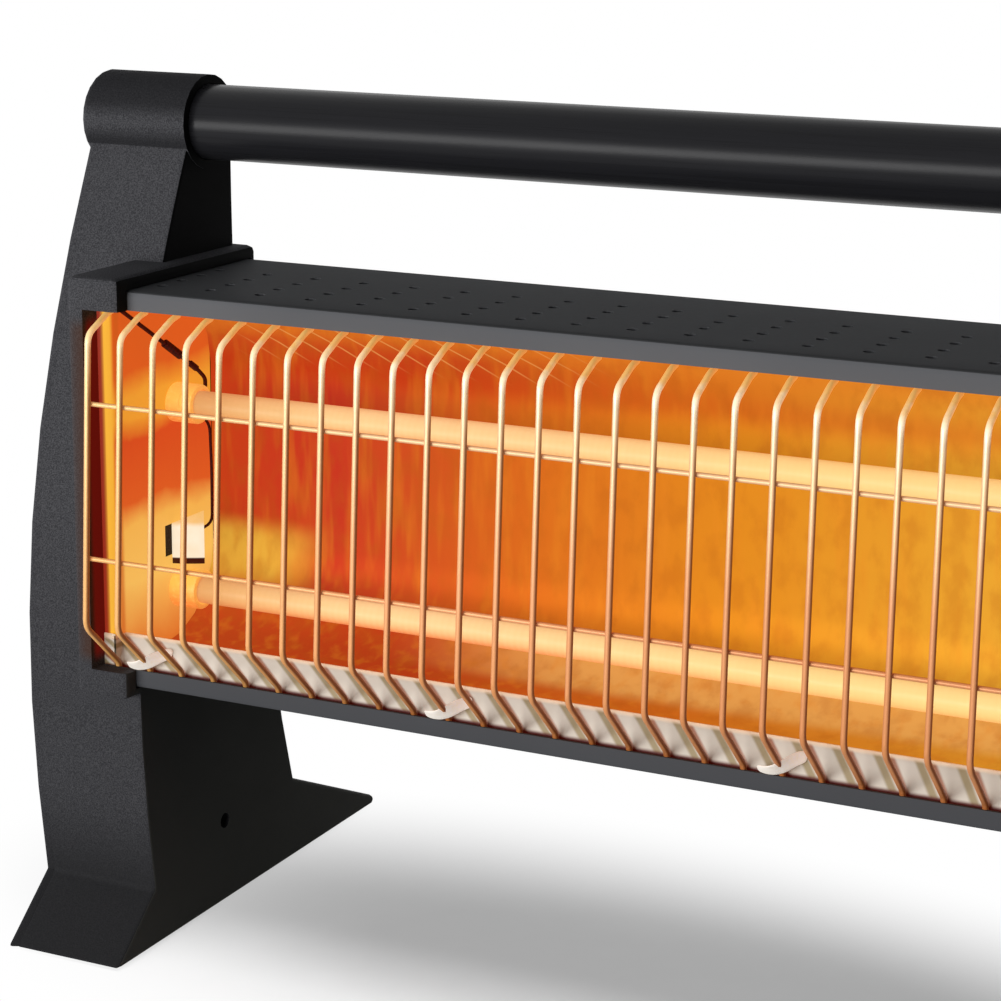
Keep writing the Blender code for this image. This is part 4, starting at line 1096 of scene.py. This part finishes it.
def feed_lead(name, side):
    line = wires(name, [mirrored(bent(FEED_PATH, FEED_BEND), side)], FEED_RADIUS)
    for start, end, radius in SLEEVES:
        span = Vector(end) - Vector(start)
        neck = [Vector(start) + span * share for share in SLEEVE_SPOTS]
        line = join(line, wires(name, [mirrored(neck, side)], radius, resolution=4))
    return smoothed(line, LEAD_ANGLE)


def jumper_lead(name, side):
    line = wires(name, [mirrored(bent(JUMPER_PATH, JUMPER_BEND), side)], JUMPER_RADIUS)
    return smoothed(line, LEAD_ANGLE)


for hand, side in HANDS:
    for kind, make in (("feed", feed_lead), ("jumper", jumper_lead)):
        name = f"{hand}_{kind}"
        dress(new_piece(name + "_run", make(name, side)), LEAD, name + "_lead")

# %% [markdown]
# ## Bright strip
# The reflector's front edge is folded up behind the bottom lip into a low bright ridge, which hides the
# bottom of the trough from the front. It is one sheet: up the front, round a small roll and down again
# behind. At each end a flat ear on a short web covers the corner of the end plate. It could be bent up
# from the frame's flat strip, but a fold is simpler to draw: a profile of points is drawn out along x and
# closed at its ends.

# %% Bright strip
STRIP_PROFILE = ((3.5, 107.9), (4.4, 110.2), (7.1, 117.2), (7.7, 118.7), (8.3, 119.3), (9.0, 119.2),
                 (9.5, 118.5), (9.8, 117.0), (10.6, 107.9))
STRIP_HALF, STRIP_STEPS = 194.4, 40
EAR_PROFILE = ((1.65, 108.6), (1.65, 119.8), (1.8, 120.4), (2.1, 120.4), (2.1, 108.6))
EAR_ENDS = (194.2, 198.9)
WEB_PROFILE = ((1.65, 108.6), (1.65, 119.8), (8.0, 119.2), (4.0, 108.6))
WEB_ENDS = (194.2, 194.7)


def draw_out(shape, profile, start, end, steps):
    """A profile drawn out along x and closed at both ends."""
    rows = []
    for i in range(steps + 1):
        x = start + (end - start) * i / steps
        rows.append([shape.verts.new(at(x, y, z)) for y, z in profile])
    for near, far in zip(rows, rows[1:]):
        for i in range(len(profile)):
            shape.faces.new((near[i - 1], far[i - 1], far[i], near[i]))
    shape.faces.new(rows[0])
    shape.faces.new(rows[-1])


def front_strip():
    shape = bmesh.new()
    draw_out(shape, STRIP_PROFILE, -STRIP_HALF, STRIP_HALF, STRIP_STEPS)
    for side in (-1, 1):
        draw_out(shape, EAR_PROFILE, side * EAR_ENDS[0], side * EAR_ENDS[1], 2)
        draw_out(shape, WEB_PROFILE, side * WEB_ENDS[0], side * WEB_ENDS[1], 1)
    bmesh.ops.recalc_face_normals(shape, faces=shape.faces)
    return smoothed(mesh_of("front_strip", shape))


add(new_piece("front_strip", front_strip()), STRIP, "heater")

# %% [markdown]
# ## Guard straps
# At every ninth wire a tongue is pressed out of the strip and hooks round the wire's foot, so that the
# guard can't be pulled out. It leaves the strip on the right of the wire, passes in front of it and ends
# over the lip. Modelling the curved sheet itself would take many faces. A ribbon of a few is enough:
# Solidify gives it its thickness and Subdivision its curve.

# %% Guard straps
STRAP_FIRST, STRAP_EVERY, STRAP_COUNT = 1, 9, 4
STRAP_ROWS = ((6.8, 5.9, 114.8, 3.8, -0.39, -0.92), (4.6, 3.6, 115.0, 5.0, -0.2, -0.97),
              (2.0, -0.8, 113.4, 6.0, 0.3, -0.9), (-1.2, -3.4, 111.9, 6.2, 0.7, -0.71),
              (-4.4, -2.9, 111.4, 5.6, 0.7, -0.71), (-7.6, -1.2, 111.2, 3.2, 0.5, -0.8))
STRAP_SHEET = 0.7


def thicken(made, sheet):
    """Give a bare surface the thickness of its sheet, half to each side."""
    solid = made.modifiers.new("sheet", "SOLIDIFY")
    solid.thickness = sheet * MM
    solid.offset = 0


def strap_tongue(name, column):
    shape = bmesh.new()
    rows = []
    for x, y, z, width, edge_y, edge_z in STRAP_ROWS:
        edge = Vector((0, edge_y, edge_z)).normalized() * width / 2 * MM
        centre = at(column + x, y, z)
        rows.append([shape.verts.new(centre - edge), shape.verts.new(centre), shape.verts.new(centre + edge)])
    for low, high in zip(rows, rows[1:]):
        for i in range(2):
            shape.faces.new((low[i], high[i], high[i + 1], low[i + 1]))
    bmesh.ops.recalc_face_normals(shape, faces=shape.faces)
    made = new_piece(name, mesh_of(name, shape))
    made.data.shade_smooth()
    thicken(made, STRAP_SHEET)
    smooth = made.modifiers.new("round", "SUBSURF")
    smooth.levels = 2
    smooth.render_levels = 2
    return made


for i in range(STRAP_COUNT):
    column = (STRAP_FIRST + STRAP_EVERY * i) * WIRE_PITCH - GUARD_HALF
    dress(strap_tongue(f"strap_tongue_{i + 1}", column), STRAP, f"guard_strap_{i + 1}")

# %% [markdown]
# ## Window tabs
# Each end plate has a window with its tongue still hinged at the front edge and pushed into the trough,
# where it stands out and catches the light, a glow painted into its colour and given off. Its top is
# painted in the plate's glow colour, and painted shade darkens its lower edge. What shows beside it is the
# dark space behind the plate. A flat face would catch the light all at once, so the sheet is drawn as a
# grid, bowed a little, and thickened.

# %% Window tabs
TAB_HINGE, TAB_FREE = (195.2, 40.6), (184.4, 45.6)
TAB_LOW, TAB_HIGH, TAB_RISE = 136.8, 152.0, 5.0
TAB_SHEET, TAB_BOW, TAB_EDGE, TAB_CUTS = 0.5, 0.5, 0.15, 3


def window_tab(name, side):
    shape = bmesh.new()
    (hinge_x, hinge_y), (free_x, free_y) = TAB_HINGE, TAB_FREE
    corners = [(free_x, free_y, TAB_LOW), (hinge_x, hinge_y, TAB_LOW), (hinge_x, hinge_y, TAB_HIGH),
               (free_x, free_y, TAB_HIGH + TAB_RISE)]
    shape.faces.new([shape.verts.new(at(side * x, y, z)) for x, y, z in corners])
    bmesh.ops.subdivide_edges(shape, edges=shape.edges, cuts=TAB_CUTS, use_grid_fill=True)
    for vert in shape.verts:
        share = (vert.co.y - at_y(hinge_y)) / (free_y - hinge_y) / MM
        vert.co.y -= TAB_BOW * MM * math.sin(math.pi * share)
    made = new_piece(name, smoothed(mesh_of(name, shape)))
    thicken(made, TAB_SHEET)
    edge = made.modifiers.new("rim", "BEVEL")
    edge.width = TAB_EDGE * MM
    edge.limit_method = "ANGLE"
    return made


for hand, side in HANDS:
    add(window_tab(hand + "_window_tab", side), TAB, "heater")

# %% [markdown]
# ## Controls, pads and gland
# The selector knob sits on the right cover and its shaft runs to the switch inside the leg. The tip-over
# plunger pokes out under the right foot. These and the pads, gland, switch bodies and terminal block have
# their forms in the frame, so they only get soft edges and their finishes.

# %% Controls, pads and gland
SMALL = {"selector_knob": (KNOB, 0.5), "selector_shaft": (STEEL, 0.25), "selector_switch": (SWITCH, 0.4),
         "tip_switch": (SWITCH, 0.4), "tip_plunger": (WHITE, 0.3), "terminal_block": (WHITE, 0.4),
         "cord_gland": (RUBBER, 0.3)}
SMALL.update({f"{hand}_{end}_foot_pad": (RUBBER, 0.4)
              for hand in ("left", "right") for end in ("front", "back")})
for node, (finish, width) in SMALL.items():
    dress(soft_copy(node, width), finish, node)

# %% [markdown]
# ## Screws
# Pan-head screws hold the covers and the back of the housing. One head is turned on the lathe and a cross
# is cut out of it with a Boolean, then copies of that mesh go to every place. They are small trim, so
# they add to the frame and replace nothing.

# %% One screw head
HEAD_PROFILE = ((0, 0), (0, 2.9), (0.35, 3.05), (0.8, 2.8), (1.15, 2.1), (1.35, 1.1), (1.4, 0))
HEAD_HIGH = HEAD_PROFILE[-1][0]
CROSS_LONG, CROSS_WIDE, CROSS_DEEP, CROSS_TOP = 3.4, 0.75, 0.9, 2
SCREW_ANGLE = 35


def box_mesh(name, low, high):
    shape = bmesh.new()
    bmesh.ops.create_cube(shape, size=1)
    for vert in shape.verts:
        vert.co = [(a + b) / 2 + c * (b - a) for a, b, c in zip(low, high, vert.co)]
    return mesh_of(name, shape)


def screw_head():
    head = new_piece("screw_head", lathe("screw_head", HEAD_PROFILE, Vector((0, 0, 0)), sides=32))
    deep, top = (HEAD_HIGH - CROSS_DEEP) * MM, CROSS_TOP * MM
    half, thin = CROSS_LONG / 2 * MM, CROSS_WIDE / 2 * MM
    cutters = [new_piece("cross", box_mesh("cross", (deep, -half, -thin), (top, half, thin))),
               new_piece("cross", box_mesh("cross", (deep, -thin, -half), (top, thin, half)))]
    for cutter in cutters:
        cut = head.modifiers.new("cross", "BOOLEAN")
        cut.object = cutter
        cut.operation = "DIFFERENCE"
    data = baked(head)
    for made in (head, *cutters):
        bpy.data.objects.remove(made)
    return smoothed(data, SCREW_ANGLE)


SCREW = screw_head()
print("screw head has", len(SCREW.polygons), "faces")

# %% Screws on the covers and the back
COVER_FACE, BACK_FACE = 232.75, 81.2
COVER_SCREWS = ((16, 44), (112, 14), (40, 236), (62, 268))
BACK_SCREWS = [(x, z) for x in (-176, 0, 176) for z in (110, 236)]
COVER_TURN, BACK_TURN, TURN_BY = 0.3, 0.5, 0.7


def screws(name, places, direction, turn):
    """Screw heads at places of the heater, joined into one piece."""
    shape = bmesh.new()
    facing = Vector((1, 0, 0)).rotation_difference(Vector(direction)).to_matrix().to_4x4()
    for i, place in enumerate(places):
        start = len(shape.verts)
        shape.from_mesh(SCREW)
        shape.verts.ensure_lookup_table()
        spin = Matrix.Rotation(turn + TURN_BY * i, 4, "X")
        there = Matrix.Translation(at(*place)) @ facing @ spin
        bmesh.ops.transform(shape, matrix=there, verts=shape.verts[start:])
    return new_piece(name, smoothed(mesh_of(name, shape), SCREW_ANGLE))


for hand, side in HANDS:
    spots = [(side * COVER_FACE, y, z) for y, z in COVER_SCREWS]
    add(screws(hand + "_cover_screws", spots, (side, 0, 0), COVER_TURN), STEEL, "heater")
spots = [(x, BACK_FACE, z) for x, z in BACK_SCREWS]
add(screws("back_screws", spots, (0, 1, 0), BACK_TURN), STEEL, "heater")

# %% [markdown]
# ## Selector marks
# A pointer on the knob and three marks on the cover show the position: an open ring for off, then one bar
# and two bars. They are thin raised shapes, not a picture, and the marks lie where the pointer comes to
# rest along its turn.

# %% Selector marks
KNOB_Y, KNOB_Z = 48.0, 176.0
MARK_REACH, MARK_FACE = 23.0, 232.7
MARK_TURN, BAR_APART = 60, 1.1
BAR_SPOTS, BAR_RADIUS = (-2, -1.6, 1.6, 2), 0.5
RING_SIZE, RING_RADIUS, RING_STEPS = 1.9, 0.4, 24


def on_dial(angle, reach, sideways=0.0):
    """A point of the dial, from its angle in degrees from the top towards the back."""
    turn = math.radians(angle)
    return (KNOB_Y + reach * math.sin(turn) + sideways * math.cos(turn),
            KNOB_Z + reach * math.cos(turn) - sideways * math.sin(turn))


def dial_bar(name, angle, sideways):
    spots = [on_dial(angle, MARK_REACH + reach, sideways) for reach in BAR_SPOTS]
    return wires(name, [[at(MARK_FACE, y, z) for y, z in spots]], BAR_RADIUS)


def dial_ring(name):
    ring = []
    y, z = on_dial(0, MARK_REACH)
    for i in range(RING_STEPS + 1):
        turn = math.tau * i / RING_STEPS
        ring.append(at(MARK_FACE, y + RING_SIZE * math.cos(turn), z + RING_SIZE * math.sin(turn)))
    return wires(name, [ring], RING_RADIUS)


double = [dial_bar("bar", 2 * MARK_TURN, apart) for apart in (-BAR_APART, BAR_APART)]
marks = join(dial_ring("ring"), dial_bar("bar", MARK_TURN, 0), *double)
add(new_piece("selector_marks", smoothed(marks, ROUND_ANGLE)), MARK, "heater")

# %% Knob pointer
KNOB_FACE, POINTER_RADIUS = 247.85, 0.48
POINTER_SPOTS = (5.5, 6, 15, 15.5)


def pressed_back(data):
    """Set a knob's face back by a hair, so that the pointer on it stays within the frame's box."""
    for vert in data.vertices:
        vert.co.x = min(vert.co.x, at_x(KNOB_FACE))


def knob_pointer():
    spots = [(KNOB_Y, KNOB_Z + reach) for reach in POINTER_SPOTS]
    line = [at(KNOB_FACE, y, z) for y, z in spots]
    return smoothed(wires("knob_pointer", [line], POINTER_RADIUS), ROUND_ANGLE)


pressed_back(bpy.data.objects["selector_knob_skin"].data)
add(new_piece("knob_pointer", knob_pointer()), MARK, "selector")

# %% [markdown]
# ## Floor
# The heater stands on a plain pale floor. Far from it the floor is as white as the background, and near
# it the floor is a pale paper that takes its shadow, in an ellipse that is turned a little. The white
# comes from Light Path: only rays that look at the floor, straight or in a mirror, see it, so that it
# throws no light on the heater.

# %% Floor
SEEN_DIRECTLY = ("Is Camera Ray", "Is Glossy Ray", "Is Transmission Ray")
SHADOW_MIDDLE, SHADOW_REACH = at(10, 50, 0), (0.30, 0.138, 1)
SHADOW_TURN, SHADOW_EDGE = math.radians(7), (0.4, 1.12)
NEAR_WHITE = 0.27
FLOOR_HALF, FLOOR_CELLS = 5, 8


def looked_at(tone):
    """1 for a ray that looks at a surface, 0 for one that gathers its light."""
    one, two, three = [tone.node("ShaderNodeLightPath", out=name) for name in SEEN_DIRECTLY]
    return one.sum("MINIMUM", one + two + three, 1)


def pale_floor():
    paint = bpy.data.materials.new("pale_floor")
    paint.use_nodes = True
    tree = paint.node_tree
    tree.nodes.clear()
    tone = Tone(tree)
    point = place_of(tone)
    offset = tone.node("ShaderNodeVectorMath", {"operation": "SUBTRACT"}, {0: point, 1: SHADOW_MIDDLE})
    turned = tone.node("ShaderNodeVectorRotate", {"rotation_type": "Z_AXIS"},
                       {"Vector": offset, "Angle": SHADOW_TURN})
    scaled = tone.node("ShaderNodeVectorMath", {"operation": "DIVIDE"}, {0: turned, 1: SHADOW_REACH})
    away = tone.node("ShaderNodeVectorMath", {"operation": "LENGTH"}, {0: scaled}, out="Value")
    direct = looked_at(tone)
    fleck = noise(point, 60)
    paper = mix(direct, tint(84, 84, 84), mix(fleck, tint(240, 240, 240), tint(246, 246, 246)))
    lit = tone.node("ShaderNodeBsdfDiffuse", None, {"Color": paper})
    glow = tone.node("ShaderNodeEmission", None, {"Color": (1, 1, 1, 1), "Strength": 1.0})
    share = direct * (NEAR_WHITE + (1 - NEAR_WHITE) * step(away, *SHADOW_EDGE))
    both = tone.node("ShaderNodeMixShader", None, {0: share, 1: lit, 2: glow})
    both.into(tree.nodes.new("ShaderNodeOutputMaterial"), "Surface")
    return paint


def stage_floor():
    shape = bmesh.new()
    bmesh.ops.create_grid(shape, x_segments=FLOOR_CELLS, y_segments=FLOOR_CELLS, size=FLOOR_HALF)
    made = new_piece("floor", mesh_of("floor", shape))
    made.data.materials.append(pale_floor())
    made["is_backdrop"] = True
    return made


floor = stage_floor()
print("floor", [round(x, 1) for x in floor.dimensions])

# %% [markdown]
# ## Studio light
# One broad softbox stands to the left in front, low, so that upright faces are lit and tops stay dark, as
# in the photograph. A second one hangs in front and above and lights only the floor, so that the heater's
# shadow falls softly behind it. Three more show the back and both ends when one walks round the heater:
# they light only those pieces, through light-linking collections, and leave no highlight. The world adds
# a low fill, and is white for rays that look at it.

# %% World
FILL = 0.08


def studio_world():
    world = bpy.data.worlds.new("studio")
    world.use_nodes = True
    tree = world.node_tree
    tree.nodes.clear()
    tone = Tone(tree)
    fill = tone.node("ShaderNodeBackground", None, {"Color": (1, 1, 1, 1), "Strength": FILL})
    white = tone.node("ShaderNodeBackground", None, {"Color": (1, 1, 1, 1), "Strength": 1.0})
    both = tone.node("ShaderNodeMixShader", None, {0: looked_at(tone), 1: fill, 2: white})
    both.into(tree.nodes.new("ShaderNodeOutputWorld"), "Surface")
    return world


scene.world = studio_world()
print("world", scene.world.name)

# %% Softboxes
def softbox(name, place, aim, size, power):
    lamp = bpy.data.lights.new(name, "AREA")
    lamp.shape = "RECTANGLE"
    lamp.size, lamp.size_y = size
    lamp.energy = power
    made = new_piece(name, lamp)
    turn = (Vector(place) - Vector(aim)).to_track_quat("Z", "Y").to_matrix().to_4x4()
    made.matrix_world = Matrix.Translation(place) @ turn
    return made


softbox("key_softbox", (-0.62, -1.82, 0.24), (0, 0, 0.18), (1.8, 0.7), 44)
overhead = softbox("overhead_softbox", (0.1, -0.42, 1.5), (0.05, 0.0, 0), (1.2, 0.7), 21)
back = softbox("back_softbox", (-0.45, 1.9, 0.42), (0, 0, 0.18), (1.2, 0.7), 32)
ends = {hand: softbox(hand + "_end_softbox", (side * 1.75, 0.1, 0.45), (side * 0.2, 0, 0.18), (1.2, 0.7), 22)
        for hand, side in HANDS}

# %% What each softbox lights
AT_THE_END = {"left": ("left_leg", "left_side_cover", "left_cover"),
              "right": ("right_leg", "right_side_cover", "right_cover", "selector", "knob")}
dressed = [made for made in scene.objects
           if made.type == "MESH" and made is not floor and made.data.materials]


def light_only(lamp, members):
    group = bpy.data.collections.new(lamp.name + "_lights")
    for made in members:
        group.objects.link(made)
    lamp.light_linking.receiver_collection = group
    lamp.visible_glossy = False
    print(lamp.name, "lights", len(members), "pieces")


light_only(overhead, [floor])
light_only(back, dressed)
for hand, lamp in ends.items():
    light_only(lamp, [made for made in dressed if made.name.startswith(AT_THE_END[hand])])

# %% [markdown]
# ## Size
# The dressed heater has to stay inside the box of its frame, so how far it grows past the frame's high
# corner is printed.

# %% Size
visual_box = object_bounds()
grown = [round((b - a) / MM, 2) for a, b in zip(cad_box[1], visual_box[1])]
print("grown by", grown, "mm at the high corner")
